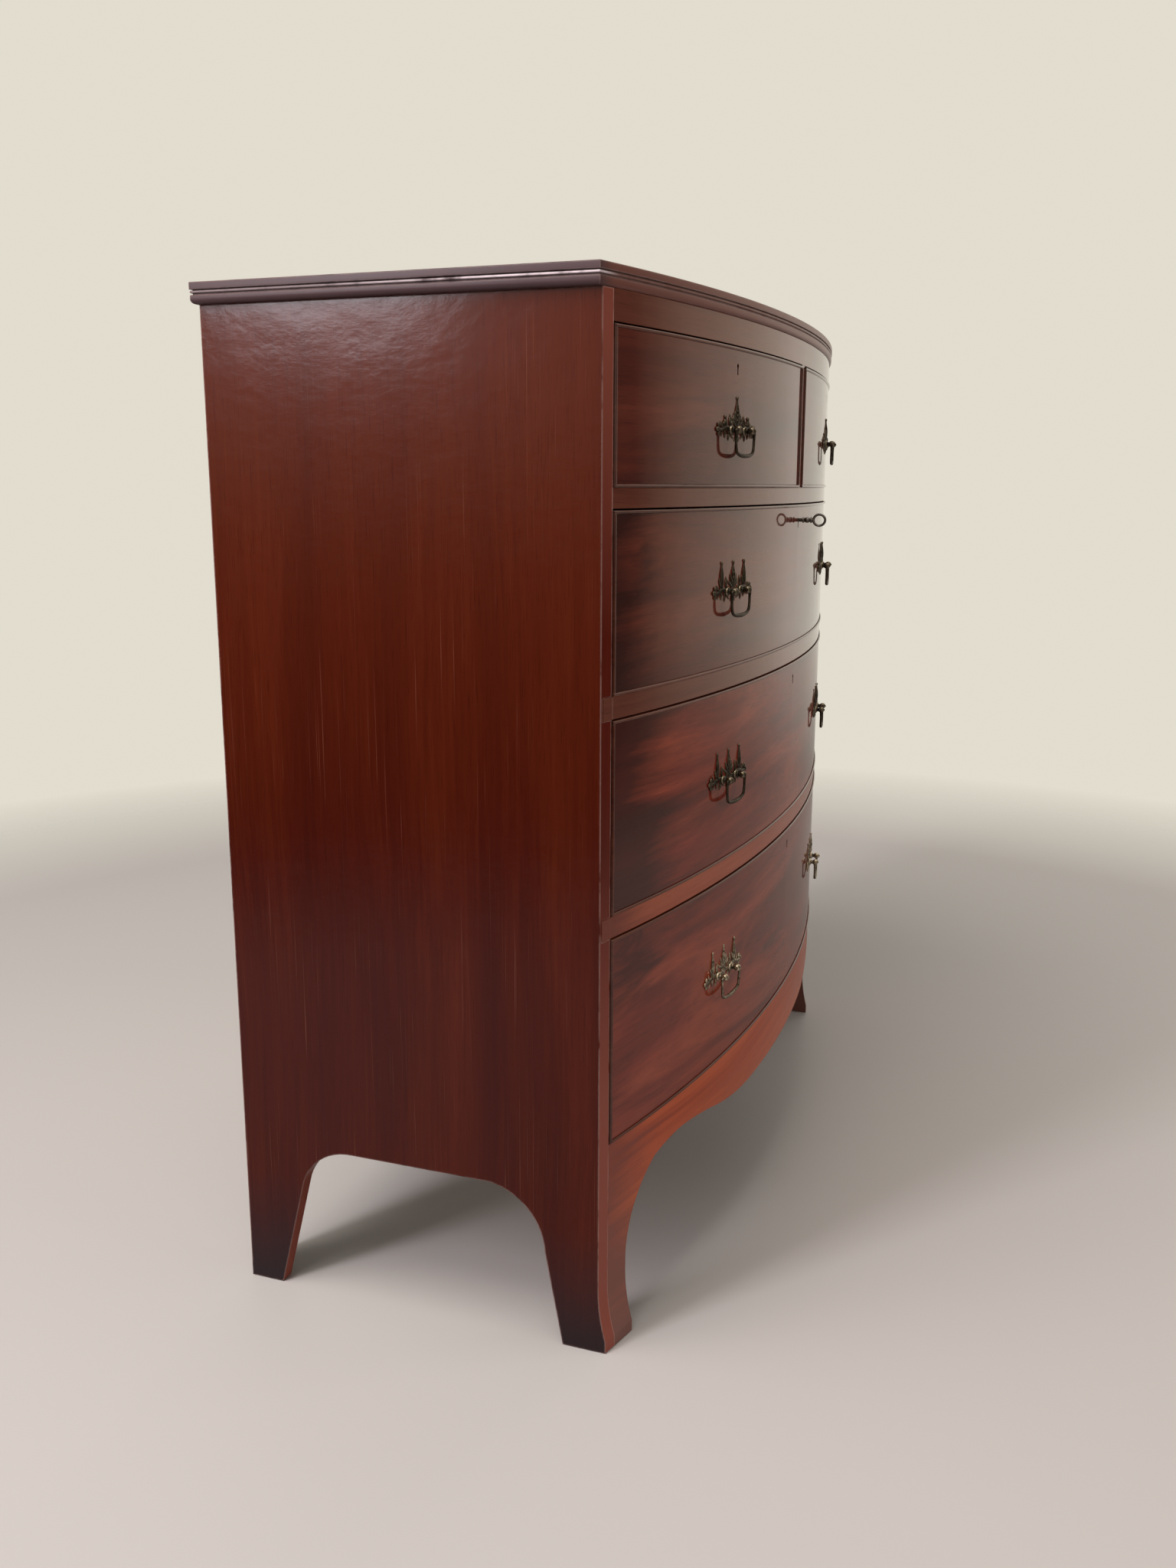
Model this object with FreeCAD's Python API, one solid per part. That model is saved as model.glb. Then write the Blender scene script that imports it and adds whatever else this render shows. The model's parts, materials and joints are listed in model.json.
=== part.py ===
import FreeCAD, Part
import math
import os

Vector = FreeCAD.Vector
os.makedirs("parts", exist_ok=True)

# Driving dimensions in millimetres. +X is right as seen from the front, -Y is the front, +Z is up.

# Case: width over the sides, depth of a side at its front corner, rise of the bow beyond that corner
case_width = 1022.0
side_depth = 405.0
bow_rise = 72.0
side_thickness = 16.0

# Front from the floor up: openings for the drawers and the rails between them
base_height = 220.0
bottom_opening = 213.0
lower_rail_height = 21.0
third_opening = 190.0
middle_rail_height = 21.0
second_opening = 169.0
upper_rail_height = 18.0
short_opening = 141.0
top_rail_height = 27.0

# Top board and the moulding worked on its edge
top_thickness = 20.0
top_side_overhang = 8.5
top_front_overhang = 3.0
top_back_overhang = 5.0
band_height = 6.0
quirk_height = 1.0
quirk_depth = 1.6
member_inset = 0.4
bead_moulding_height = 3.0
torus_round = 8.0
top_arris = 0.8

# Rails, divider, dust panels, runners, bottom and back
rail_depth = 50.0
divider_thickness = 15.0
bottom_thickness = 16.0
back_thickness = 10.0
back_board_count = 4
board_gap = 0.5
back_lip = 8.0
runner_width = 22.0
runner_thickness = 16.0
dust_thickness = 8.0
guide_height = 14.0
tongue = 5.0
tongue_setback = 10.0
lap_depth = 7.0
lap_margin = 2.5
middle_lap_proud = 1.2
lower_lap_proud = 0.4

# Feet, apron and the arches between them
apron_thickness = 22.0
foot_front_width = 47.0
foot_bracket_width = 111.0
apron_least_depth = 41.0
side_arch_drop = 54.0
toe_flare = 7.5
toe_flat = 12.0
flare_height = 70.0
rear_bracket_width = 62.0
block_size = 18.0
floor_gap = 3.0
rail_block_length = 60.0
rail_block_count = 4

# Drawers: gaps in the opening, then the boards
drawer_side_gap = 1.2
drawer_top_gap = 1.6
running_gap = 0.3
front_thickness = 20.0
drawer_side_thickness = 9.0
drawer_back_thickness = 9.0
drawer_bottom_thickness = 6.0
bottom_raise = 9.0
bottom_groove = 4.0
side_top_drop = 3.0
back_top_drop = 8.0
drawer_back_gap = 6.0
front_lap = 8.0
tail_pitch = 38.0
stop_length = 30.0
stop_width = 14.0
stop_height = 5.0
stop_gap = 0.4

# Cock beads round each drawer front
bead_width = 3.0
bead_proud = 2.0
bead_seat = 6.0

# Handles
handle_drop = 3.0
short_handle_drop = 13.0
post_spacing = 36.0
post_reach = 10.0
post_head_radius = 4.2
post_neck_radius = 2.6
post_flange_radius = 5.4
post_flange_thickness = 1.4
shank_radius = 2.0
nut_radius = 6.0
nut_thickness = 3.0
shank_end = 1.5
pin_clearance = 0.08
bail_radius = 2.0
bail_drop = 25.0
bail_side_gap = 0.8
pin_end = 1.0
bail_corner_radius = 2.8
bail_turn_radius = 9.0
bail_foot_radius = 26.0
plate_thickness = 1.6
plate_width = 108.0
plate_rise = 28.0
plate_fall = 14.0

# Locks and the key
key_drop = 20.0
key_reach = 34.0
key_ring_radius = 8.5
key_ring_wire = 1.5
key_shank_radius = 2.1
key_collar_radius = 3.4
key_collar_length = 2.2
key_bore_radius = 1.25
key_fit = 0.06
key_slack = 0.35
bit_reach = 8.5
bit_thickness = 2.2
bit_width = 4.0
bit_end_gap = 0.6
lock_width = 62.0
lock_height = 40.0
lock_depth = 11.0
lock_wall = 1.4
lock_proud = 1.0
bit_sweep_gap = 1.0
bolt_width = 18.0
bolt_thickness = 4.0
bolt_slack = 0.2
bolt_throw = 7.0
mortise_room = 0.6

# Screws and nails
screw_radius = 2.2
screw_head_radius = 4.4
screw_head_height = 2.6
screw_grip = 9.0
nail_radius = 0.9
nail_head_radius = 2.2
nail_head_height = 0.8
nail_length = 24.0

# How far cutting shapes run past what they cut, and how near two heights count as one
overrun = 5.0
same_level = 0.005

# Sizes that follow
half_width = case_width / 2
inner_half = half_width - side_thickness
bow_radius = (half_width ** 2 + bow_rise ** 2) / (2 * bow_rise)
corner_y = (bow_rise + key_reach - side_depth - top_back_overhang) / 2
apex_y = corner_y - bow_rise
bow_centre_y = apex_y + bow_radius
back_y = corner_y + side_depth
back_front_y = back_y - back_thickness
rail_back_y = corner_y + rail_depth
lower_rail_z = base_height + bottom_opening
third_z = lower_rail_z + lower_rail_height
middle_rail_z = third_z + third_opening
second_z = middle_rail_z + middle_rail_height
upper_rail_z = second_z + second_opening
short_z = upper_rail_z + upper_rail_height
top_rail_z = short_z + short_opening
case_height = top_rail_z + top_rail_height
apron_peak_height = base_height - apron_least_depth
side_arch_height = base_height - side_arch_drop
apron_half = half_width - foot_bracket_width
arch_half = half_width - foot_front_width
post_half = post_spacing / 2
bail_half = post_half + post_head_radius + bail_side_gap + bail_radius
short_centre_x = (inner_half + divider_thickness / 2) / 2
Z_AXIS = Vector(0, 0, 1)


def box(x0, x1, y0, y1, z0, z1):
    """A plain block between three pairs of planes."""
    return Part.makeBox(x1 - x0, y1 - y0, z1 - z0, Vector(x0, y0, z0))


def group(solids):
    """Separate solids kept together as one node."""
    return Part.makeCompound(solids)


def mirrored(shape):
    """The same piece for the other side of the chest."""
    return shape.mirror(Vector(0, 0, 0), Vector(1, 0, 0))


def bow_y(x, offset=0.0):
    """Depth of the bowed front at x, or of a face standing off it."""
    return bow_centre_y - math.sqrt((bow_radius + offset) ** 2 - x ** 2)


def bow_arc(offset, x0, x1, z):
    """Edge along the bow from x0 to x1."""
    points = [Vector(x, bow_y(x, offset), z) for x in (x0, (x0 + x1) / 2, x1)]
    return Part.Arc(*points).toShape()


def bow_block(offset, x0, x1, y_back, z0, z1):
    """Solid from the bow straight back to a flat plane."""
    arc = bow_arc(offset, x0, x1, z0)
    start = Vector(x0, bow_y(x0, offset), z0)
    end = Vector(x1, bow_y(x1, offset), z0)
    rest = Part.makePolygon([end, Vector(x1, y_back, z0), Vector(x0, y_back, z0), start])
    return Part.Face(Part.Wire([arc] + rest.Edges)).extrude(Vector(0, 0, z1 - z0))


def bow_strip(outer, inner, x0, x1, z0, z1):
    """Solid between two faces that follow the bow."""
    face = bow_arc(outer, x0, x1, z0)
    rear = bow_arc(inner, x0, x1, z0)
    right = Part.makeLine(Vector(x1, bow_y(x1, outer), z0), Vector(x1, bow_y(x1, inner), z0))
    left = Part.makeLine(Vector(x0, bow_y(x0, inner), z0), Vector(x0, bow_y(x0, outer), z0))
    wire = Part.Wire(Part.__sortEdges__([face, right, rear, left]))
    return Part.Face(wire).extrude(Vector(0, 0, z1 - z0))


def at_bow(x, z):
    """Placement on the bow: local X along the face, local Y into the wood, local Z up."""
    turn = math.degrees(math.asin(x / bow_radius))
    return FreeCAD.Placement(Vector(x, bow_y(x), z), FreeCAD.Rotation(Z_AXIS, turn))


def placed(shape, place):
    """A copy of a piece moved to its place."""
    copy = shape.copy()
    copy.Placement = place.multiply(copy.Placement)
    return copy


def rod(radius, y0, y1, x=0.0, z=0.0):
    """Cylinder along local Y."""
    return Part.makeCylinder(radius, y1 - y0, Vector(x, y0, z), Vector(0, 1, 0))


def outline_solid(edges, direction):
    """Closed outline pulled along a direction."""
    return Part.Face(Part.Wire(Part.__sortEdges__(edges))).extrude(direction)


def front_envelope():
    """Everything behind the bowed front, with the toes flaring out at the floor."""
    deep_y = back_y + overrun
    toe_y = apex_y - toe_flare
    top_z = case_height + overrun
    drop = flare_height - toe_flat
    sweep = (toe_flare ** 2 + drop ** 2) / (2 * toe_flare)
    half_turn = math.atan2(drop, sweep - toe_flare) / 2
    flare_mid_y = apex_y - sweep + sweep * math.cos(half_turn)
    flare_mid_z = flare_height - sweep * math.sin(half_turn)
    flare = Part.Arc(Vector(0, toe_y, toe_flat), Vector(0, flare_mid_y, flare_mid_z),
                     Vector(0, apex_y, flare_height)).toShape()
    corners = [(apex_y, flare_height), (apex_y, top_z), (deep_y, top_z),
               (deep_y, 0), (toe_y, 0), (toe_y, toe_flat)]
    rest = Part.makePolygon([Vector(0, y, z) for y, z in corners])
    face = Part.Face(Part.Wire(Part.__sortEdges__([flare] + rest.Edges)))
    half_angle = math.degrees(math.asin((half_width + overrun) / (bow_radius - bow_rise - side_depth)))
    axis_point = Vector(0, bow_centre_y, 0)
    face.rotate(axis_point, Z_AXIS, -half_angle)
    return face.revolve(axis_point, Z_AXIS, 2 * half_angle)


# Side arch as shares of the side's depth and the arch's height
side_arch_shares = {
    "front_toe": (0.094, 0.0), "front_leg": (0.141, 0.60), "front_turn": (0.180, 0.85),
    "front_top": (0.289, 1.0), "rear_top": (0.679, 1.0), "rear_turn": (0.787, 0.90),
    "rear_leg": (0.830, 0.71), "rear_toe": (0.904, 0.0)}


def side_arch():
    """Opening cut under a side between its two feet."""
    at = {name: Vector(-half_width - overrun, corner_y + y_share * side_depth, z_share * side_arch_height)
          for name, (y_share, z_share) in side_arch_shares.items()}
    below = Vector(0, 0, -overrun)
    edges = [Part.makeLine(at["front_toe"], at["front_leg"]),
             Part.Arc(at["front_leg"], at["front_turn"], at["front_top"]).toShape(),
             Part.makeLine(at["front_top"], at["rear_top"]),
             Part.Arc(at["rear_top"], at["rear_turn"], at["rear_leg"]).toShape(),
             Part.makeLine(at["rear_leg"], at["rear_toe"]),
             Part.makeLine(at["rear_toe"], at["rear_toe"] + below),
             Part.makeLine(at["rear_toe"] + below, at["front_toe"] + below),
             Part.makeLine(at["front_toe"] + below, at["front_toe"])]
    return outline_solid(edges, Vector(side_thickness + 2 * overrun, 0, 0))


# Lower edge of the apron as shares of the arch's half width and peak height, from the foot to the middle
apron_edge_shares = [
    (1.0, 0.45), (0.967, 0.75), (0.882, 0.955), (0.820, 0.99), (0.750, 1.0),
    (0.654, 0.973), (0.556, 0.922), (0.436, 0.874), (0.296, 0.857)]


def apron_arch():
    """Opening cut under the apron between the front feet."""
    y0 = apex_y - toe_flare - overrun
    edges = []
    for side in (-1, 1):
        points = [Vector(side * x_share * arch_half, y0, z_share * apron_peak_height)
                  for x_share, z_share in apron_edge_shares]
        for i in range(0, len(points) - 1, 2):
            edges.append(Part.Arc(*points[i:i + 3]).toShape())
        foot = Vector(side * arch_half, y0, -overrun)
        edges.append(Part.makeLine(foot, points[0]))
        edges.append(Part.makeLine(points[-1], Vector(0, y0, points[-1].z)))
    edges.append(Part.makeLine(Vector(-arch_half, y0, -overrun), Vector(arch_half, y0, -overrun)))
    return outline_solid(edges, Vector(0, bow_rise + rail_depth + toe_flare + overrun, 0))


def top_layer(inset, z0, z1):
    """One member of the top's moulded edge, set in from the outer line."""
    side = half_width + top_side_overhang - inset
    return bow_block(top_front_overhang - inset, -side, side, back_y + top_back_overhang - inset, z0, z1)


def rounded_edges(solid, radius, level):
    """Rounds the outline edges of a layer that lie at one height."""
    edges = [e for e in solid.Edges if all(abs(v.Point.z - level) < same_level for v in e.Vertexes)]
    return solid.makeFillet(radius, edges)


# Radius of the moulding's bead as a share of its height
bead_round_share = 0.467


def make_top_board():
    """Top with a plain band, a bead between two quirks and a torus turned under."""
    z4 = case_height + top_thickness
    z3 = z4 - band_height
    z2 = z3 - quirk_height - bead_moulding_height
    z1 = z2 - quirk_height
    band = rounded_edges(top_layer(0.0, z3, z4), top_arris, z4)
    bead = top_layer(member_inset, z2, z3 - quirk_height)
    for level in (z2, z3 - quirk_height):
        bead = rounded_edges(bead, bead_moulding_height * bead_round_share, level)
    torus = rounded_edges(top_layer(member_inset, case_height, z1), torus_round, case_height)
    torus = rounded_edges(torus, top_arris, z1)
    core = top_layer(quirk_depth, z1, z3)
    return band.fuse([bead, torus, core]).removeSplitter()


# Tongues and tenons as shares of the piece they are worked on
tongue_share = 0.5
tenon_share = 0.5


def make_rail(z0, height):
    """Bowed front rail with a stopped tongue at each end."""
    rail = bow_block(0.0, -inner_half, inner_half, rail_back_y, z0, z0 + height)
    tongue_y = corner_y + tongue_setback
    tongue_height = height * tongue_share
    tongue_z = z0 + (height - tongue_height) / 2
    for x0 in (-inner_half - tongue, inner_half):
        rail = rail.fuse(box(x0, x0 + tongue, tongue_y, rail_back_y, tongue_z, tongue_z + tongue_height))
    return rail.removeSplitter()


def make_lapped_rail(z0, height, proud):
    """Rail whose ends also lap across the front edges of the sides and stand a little proud there."""
    lap = bow_strip(proud, -lap_depth, inner_half, half_width - lap_margin, z0, z0 + height)
    return make_rail(z0, height).fuse([lap, mirrored(lap)]).removeSplitter()


def make_divider():
    """Upright between the two short drawers, tenoned into the rails above and below."""
    half = divider_thickness / 2
    upright = bow_block(0.0, -half, half, rail_back_y, short_z, top_rail_z)
    width = half * tenon_share
    tenon = box(-width, width, corner_y, rail_back_y - tongue, short_z - tongue, top_rail_z + tongue)
    return upright.fuse(tenon).removeSplitter()


def make_dust_panels():
    """Thin boards behind the rails that close each drawer's space from the next."""
    inner = runner_width - tongue
    outer = inner_half - inner
    whole = ((-outer, outer),)
    halves = ((-outer, -inner), (inner, outer))
    levels = [(lower_rail_z, lower_rail_height, whole),
              (middle_rail_z, middle_rail_height, whole),
              (upper_rail_z, upper_rail_height, halves)]
    panels = []
    for z0, height, spans in levels:
        z_low = z0 + (height - dust_thickness) / 2
        for x0, x1 in spans:
            panels.append(box(x0, x1, rail_back_y - tongue, back_front_y, z_low, z_low + dust_thickness))
    return panels


def make_runners():
    """Runners behind the rails, the centre runner with its guide, and kickers under the top."""
    strips = []
    for z_top in (third_z, second_z, short_z):
        z_low = z_top - runner_thickness
        for x0 in (-inner_half, inner_half - runner_width):
            strips.append(box(x0, x0 + runner_width, rail_back_y, back_front_y, z_low, z_top))
    half = divider_thickness / 2
    centre = box(-runner_width, runner_width, rail_back_y, back_front_y, short_z - runner_thickness, short_z)
    guide = box(-half, half, rail_back_y, back_front_y, short_z, short_z + guide_height)
    strips.append(centre.fuse(guide).removeSplitter())
    for x0 in (-inner_half, -runner_width / 2, inner_half - runner_width):
        strips.append(box(x0, x0 + runner_width, rail_back_y, back_front_y, top_rail_z, case_height))
    return strips


def make_back_boards():
    """Boards that close the back, let into rebates in the sides."""
    z_low = base_height - bottom_thickness
    pitch = (case_height - z_low + board_gap) / back_board_count
    reach = inner_half + back_lip
    return [box(-reach, reach, back_front_y, back_y, z_low + i * pitch, z_low + (i + 1) * pitch - board_gap)
            for i in range(back_board_count)]


# Where nails stand up a back board and stops stand across an opening, as a share from each end
nail_place_share = 0.25
stop_place_share = 0.25


def make_nails(boards):
    """Two nails at each end of each back board, heads flush, driven into the sides."""
    nails = []
    for board in boards:
        bounds = board.BoundBox
        from_end = bounds.ZLength * nail_place_share
        for x in (-inner_half - back_lip / 2, inner_half + back_lip / 2):
            for z in (bounds.ZMin + from_end, bounds.ZMax - from_end):
                head = rod(nail_head_radius, back_y - nail_head_height, back_y, x, z)
                shank = rod(nail_radius, back_y - nail_length, back_y, x, z)
                nails.append(head.fuse(shank).removeSplitter())
    return nails


def make_screws():
    """Screws that hold the top: through the top rail and through each kicker."""
    rail_y = corner_y + rail_depth / 2
    kicker_y = (rail_back_y + back_front_y) / 2
    places = [(x, rail_y) for x in (-short_centre_x, short_centre_x)]
    places += [(x, kicker_y) for x in (-inner_half + runner_width / 2, 0.0, inner_half - runner_width / 2)]
    length = top_rail_height + screw_grip
    screws = []
    for x, y in places:
        foot = Vector(x, y, top_rail_z)
        head = Part.makeCone(screw_head_radius, screw_radius, screw_head_height, foot)
        screws.append(head.fuse(Part.makeCylinder(screw_radius, length, foot)).removeSplitter())
    return screws


# How far a rear bracket's curve swings out half way up, as a share of the bracket's width
bracket_turn_share = 0.125


def make_rear_brackets():
    """Plain brackets across the back of the rear feet."""
    z_top = base_height - bottom_thickness
    foot_x = -inner_half + rear_bracket_width / 2
    wing_x = -inner_half + rear_bracket_width
    turn = Vector(foot_x + rear_bracket_width * bracket_turn_share, back_front_y, z_top / 2)
    corners = [(foot_x, 0), (-inner_half, 0), (-inner_half, z_top), (wing_x, z_top)]
    points = [Vector(x, back_front_y, z) for x, z in corners]
    curve = Part.Arc(points[0], turn, points[-1]).toShape()
    bracket = outline_solid(Part.makePolygon(points).Edges + [curve], Vector(0, back_thickness, 0))
    return [bracket, mirrored(bracket)]


def make_glue_blocks():
    """Blocks in the corners of the feet and along the inside of the apron."""
    z_top = base_height - bottom_thickness
    foot_front = bow_y(inner_half, -apron_thickness)
    block_x = -inner_half + block_size
    front = bow_block(-apron_thickness, -inner_half, block_x, foot_front + block_size, floor_gap, z_top)
    rear = box(-inner_half, block_x, back_front_y - block_size, back_front_y, floor_gap, z_top)
    blocks = [front, mirrored(front), rear, mirrored(rear)]
    pitch = 2 * apron_half / rail_block_count
    for i in range(rail_block_count):
        x0 = -apron_half + (i + 1 / 2) * pitch - rail_block_length / 2
        x1 = x0 + rail_block_length
        y_back = max(bow_y(x0, -apron_thickness), bow_y(x1, -apron_thickness)) + block_size
        blocks.append(bow_block(-apron_thickness, x0, x1, y_back, z_top - block_size, z_top))
    return blocks


def make_beads(left, right, low, high):
    """Four rounded strips let into the edges of a drawer front."""
    strips = []
    nose = bead_width / 2
    back_r = apex_y + bead_seat
    nose_y = apex_y - bead_proud + nose
    half_angle = math.degrees(math.asin((half_width + overrun) / bow_radius))
    axis_point = Vector(0, bow_centre_y, 0)
    for z0 in (low, high - bead_width):
        arc = Part.Arc(Vector(0, nose_y, z0), Vector(0, nose_y - nose, z0 + nose),
                       Vector(0, nose_y, z0 + bead_width)).toShape()
        rest = Part.makePolygon([Vector(0, nose_y, z0 + bead_width), Vector(0, back_r, z0 + bead_width),
                                 Vector(0, back_r, z0), Vector(0, nose_y, z0)])
        face = Part.Face(Part.Wire(Part.__sortEdges__([arc] + rest.Edges)))
        face.rotate(axis_point, Z_AXIS, -half_angle)
        ring = face.revolve(axis_point, Z_AXIS, 2 * half_angle)
        strips.append(ring.common(box(left, right, apex_y - overrun, rail_back_y, z0, z0 + bead_width)))
    for x0 in (left, right - bead_width):
        x1 = x0 + bead_width
        y_seat = bow_y(x0 + nose, -bead_seat)
        y_nose = bow_y(x0 + nose, bead_proud) + nose
        z0 = low + bead_width
        corners = [Vector(x, y, z0) for x, y in ((x1, y_nose), (x1, y_seat), (x0, y_seat), (x0, y_nose))]
        arc = Part.Arc(corners[-1], Vector(x0 + nose, y_nose - nose, z0), corners[0]).toShape()
        edges = [arc] + Part.makePolygon(corners).Edges
        strips.append(outline_solid(edges, Vector(0, 0, high - low - 2 * bead_width)))
    return strips


# Dovetail: width of a tail at its end and at its root, as shares of the pitch
tail_end_share = 0.74
tail_root_share = 0.56


def make_tails(x0, x1, y_end, y_root, low, high):
    """Row of dovetails between two heights, widest at y_end."""
    count = max(2, round((high - low) / tail_pitch))
    pitch = (high - low) / count
    tails = []
    for i in range(count):
        middle = low + (i + 1 / 2) * pitch
        end = pitch * tail_end_share / 2
        root = pitch * tail_root_share / 2
        points = [Vector(x0, y_end, middle - end), Vector(x0, y_end, middle + end),
                  Vector(x0, y_root, middle + root), Vector(x0, y_root, middle - root)]
        tails.append(Part.Face(Part.makePolygon(points + points[:1])).extrude(Vector(x1 - x0, 0, 0)))
    return group(tails)


def joined(side_full, end_board, tails):
    """A drawer side with its tails, and the end board with their sockets."""
    kept = side_full.common(end_board).common(tails)
    side = side_full.cut(end_board).fuse(kept.Solids).removeSplitter()
    return side, end_board.cut(kept)


# Ornament of a handle plate: places and sizes as shares of its half width, rise and fall
finial_place_shares = (-0.57, 0.0, 0.57)
short_finial_share = 0.52
finial_waist_share = 0.075
scroll_radius_share = 0.17
scroll_wall_share = 0.2033
scroll_place_shares = ((0.17, 0.30), (0.48, 0.16), (0.28, -0.30))
trefoil_radius_share = 0.058
trefoil_place_shares = ((0.942, 0.0), (0.88, 0.16), (0.88, -0.30))
bar_height_share = 0.20
pendant_waist_share = 0.07


def leaf(x, z0, z1, waist):
    """Pointed leaf standing from z0 to z1."""
    foot = Vector(x, 0, z0)
    tip = Vector(x, 0, z1)
    middle = (z0 + z1) / 2
    sides = [Part.Arc(foot, Vector(x + s * waist, 0, middle), tip).toShape() for s in (-1, 1)]
    return outline_solid(sides, Vector(0, -plate_thickness, 0))


def make_plate(side_finial_share):
    """Pierced back plate: a bar with scrolls, flame finials, trefoil ends and a pendant leaf."""
    half = plate_width / 2
    bar = plate_rise * bar_height_share / 2
    reach = half * trefoil_place_shares[0][0]
    pieces = []
    for place_share in finial_place_shares:
        rise = plate_rise if place_share == 0 else plate_rise * side_finial_share
        pieces.append(leaf(place_share * half, -bar, rise, finial_waist_share * half))
    pieces.append(leaf(0.0, -plate_fall, bar, pendant_waist_share * half))
    scroll = scroll_radius_share * half
    scroll_wall = scroll * scroll_wall_share
    for side in (-1, 1):
        pieces.append(rod(post_flange_radius, -plate_thickness, 0, side * post_half))
        for x_share, z_share in trefoil_place_shares:
            lift = plate_rise if z_share > 0 else plate_fall
            x = side * x_share * half
            pieces.append(rod(trefoil_radius_share * half, -plate_thickness, 0, x, z_share * lift))
        for x_share, z_share in scroll_place_shares:
            lift = plate_rise if z_share > 0 else plate_fall
            x = side * x_share * half
            ring = rod(scroll, -plate_thickness, 0, x, z_share * lift)
            pieces.append(ring.cut(rod(scroll - scroll_wall, -plate_thickness, 0, x, z_share * lift)))
    plate = box(-reach, reach, -plate_thickness, 0, -bar, bar).fuse(pieces).removeSplitter()
    holes = [rod(shank_radius, -plate_thickness, 0, x) for x in (-post_half, post_half)]
    return plate.cut(group(holes))


def inner_y(x):
    """Local depth of a drawer front's hollow inner face, x along the face from where it is touched."""
    return bow_radius - math.sqrt((bow_radius - front_thickness) ** 2 - x ** 2)


def make_posts():
    """Two posts with eyes for the bail, their shanks through the front and their nuts inside."""
    solids = []
    flange_y = -plate_thickness - post_flange_thickness
    nut_y = inner_y(post_half + nut_radius)
    for x in (-post_half, post_half):
        head = Part.makeSphere(post_head_radius, Vector(x, -post_reach, 0))
        neck = rod(post_neck_radius, -post_reach, -plate_thickness, x)
        flange = rod(post_flange_radius - bail_side_gap, flange_y, -plate_thickness, x)
        shank = rod(shank_radius, -plate_thickness, nut_y + nut_thickness + shank_end, x)
        eye = Part.makeCylinder(bail_radius + pin_clearance, 2 * post_head_radius + 2 * overrun,
                                Vector(x - post_head_radius - overrun, -post_reach, 0), Vector(1, 0, 0))
        solids.append(head.fuse([neck, flange, shank]).removeSplitter().cut(eye))
        nut = rod(nut_radius, nut_y, nut_y + nut_thickness, x)
        solids.append(nut.cut(rod(shank_radius, nut_y, nut_y + nut_thickness, x)))
    return solids


def rounded_path(points, radii):
    """Wire of straight runs with an arc of the given radius at each inner point."""
    edges = []
    start = points[0]
    for previous, corner, following, radius in zip(points, points[1:], points[2:], radii):
        back = (previous - corner).normalize()
        ahead = (following - corner).normalize()
        half_angle = back.getAngle(ahead) / 2
        trim = radius / math.tan(half_angle)
        arc_start = corner + back * trim
        arc_end = corner + ahead * trim
        towards = (back + ahead).normalize()
        arc_mid = corner + towards * (radius / math.sin(half_angle) - radius)
        edges.append(Part.makeLine(start, arc_start))
        edges.append(Part.Arc(arc_start, arc_mid, arc_end).toShape())
        start = arc_end
    edges.append(Part.makeLine(start, points[-1]))
    return Part.Wire(edges)


# Bail: its leg's and its foot's turns as shares of the half width and the drop
bail_turn_shares = ((0.96, 0.60), (0.50, 0.92))


def make_bail():
    """Swan-neck bail with its ends turned in through the posts."""
    y = -post_reach
    inner = post_half - post_head_radius - pin_end
    right = [(inner, 0.0), (bail_half, 0.0)]
    right += [(bail_half * x_share, -bail_drop * z_share) for x_share, z_share in bail_turn_shares]
    left = [(-x, z) for x, z in reversed(right)]
    points = [Vector(x, y, z) for x, z in right + [(0.0, -bail_drop)] + left]
    turns = [bail_corner_radius, bail_turn_radius, bail_turn_radius]
    path = rounded_path(points, turns + [bail_foot_radius] + turns[::-1])
    ring = Part.Wire(Part.makeCircle(bail_radius, Vector(inner, y, 0), Vector(1, 0, 0)))
    return path.makePipeShell([ring], True, False)


lock_front = front_thickness + lock_proud - lock_depth
lock_back = front_thickness + lock_proud
lock_top = key_drop - drawer_top_gap
bit_back = lock_back - lock_wall - bit_end_gap
bolt_y0 = lock_front + (lock_depth - bolt_thickness) / 2
bolt_low = bit_reach + bit_sweep_gap


def keyhole(y0, y1):
    """Slit for the key: a round for the shank and a slot for the bit, along local Y."""
    width = bit_thickness / 2 + key_slack
    slot = box(-width, width, y0, y1, -bit_reach - key_slack, 0)
    return rod(key_shank_radius + key_slack, y0, y1).fuse(slot).removeSplitter()


def bolt_space(z_end, room):
    """Space that the bolt slides in, from its foot to z_end."""
    half = bolt_width / 2 + room
    return box(-half, half, bolt_y0 - room, bolt_y0 + bolt_thickness + room, bolt_low - room, z_end)


def make_lock_case():
    """Lock let into the back of a drawer front, hollow for the key's bit and slotted for the bolt."""
    half = lock_width / 2
    case = box(-half, half, lock_front, lock_back, lock_top - lock_height, lock_top)
    sweep = rod(bit_reach + bit_sweep_gap / 2, lock_front + lock_wall, lock_back - lock_wall)
    case = case.cut(sweep).cut(bolt_space(lock_top + overrun, bolt_slack))
    case = case.cut(keyhole(lock_front, lock_front + lock_wall))
    pin = rod(key_bore_radius - key_fit, lock_front + lock_wall, lock_back)
    return case.fuse(pin).removeSplitter()


def make_bolt():
    """Bolt that rises out of the lock into the rail above."""
    return bolt_space(lock_top, 0.0)


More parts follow.
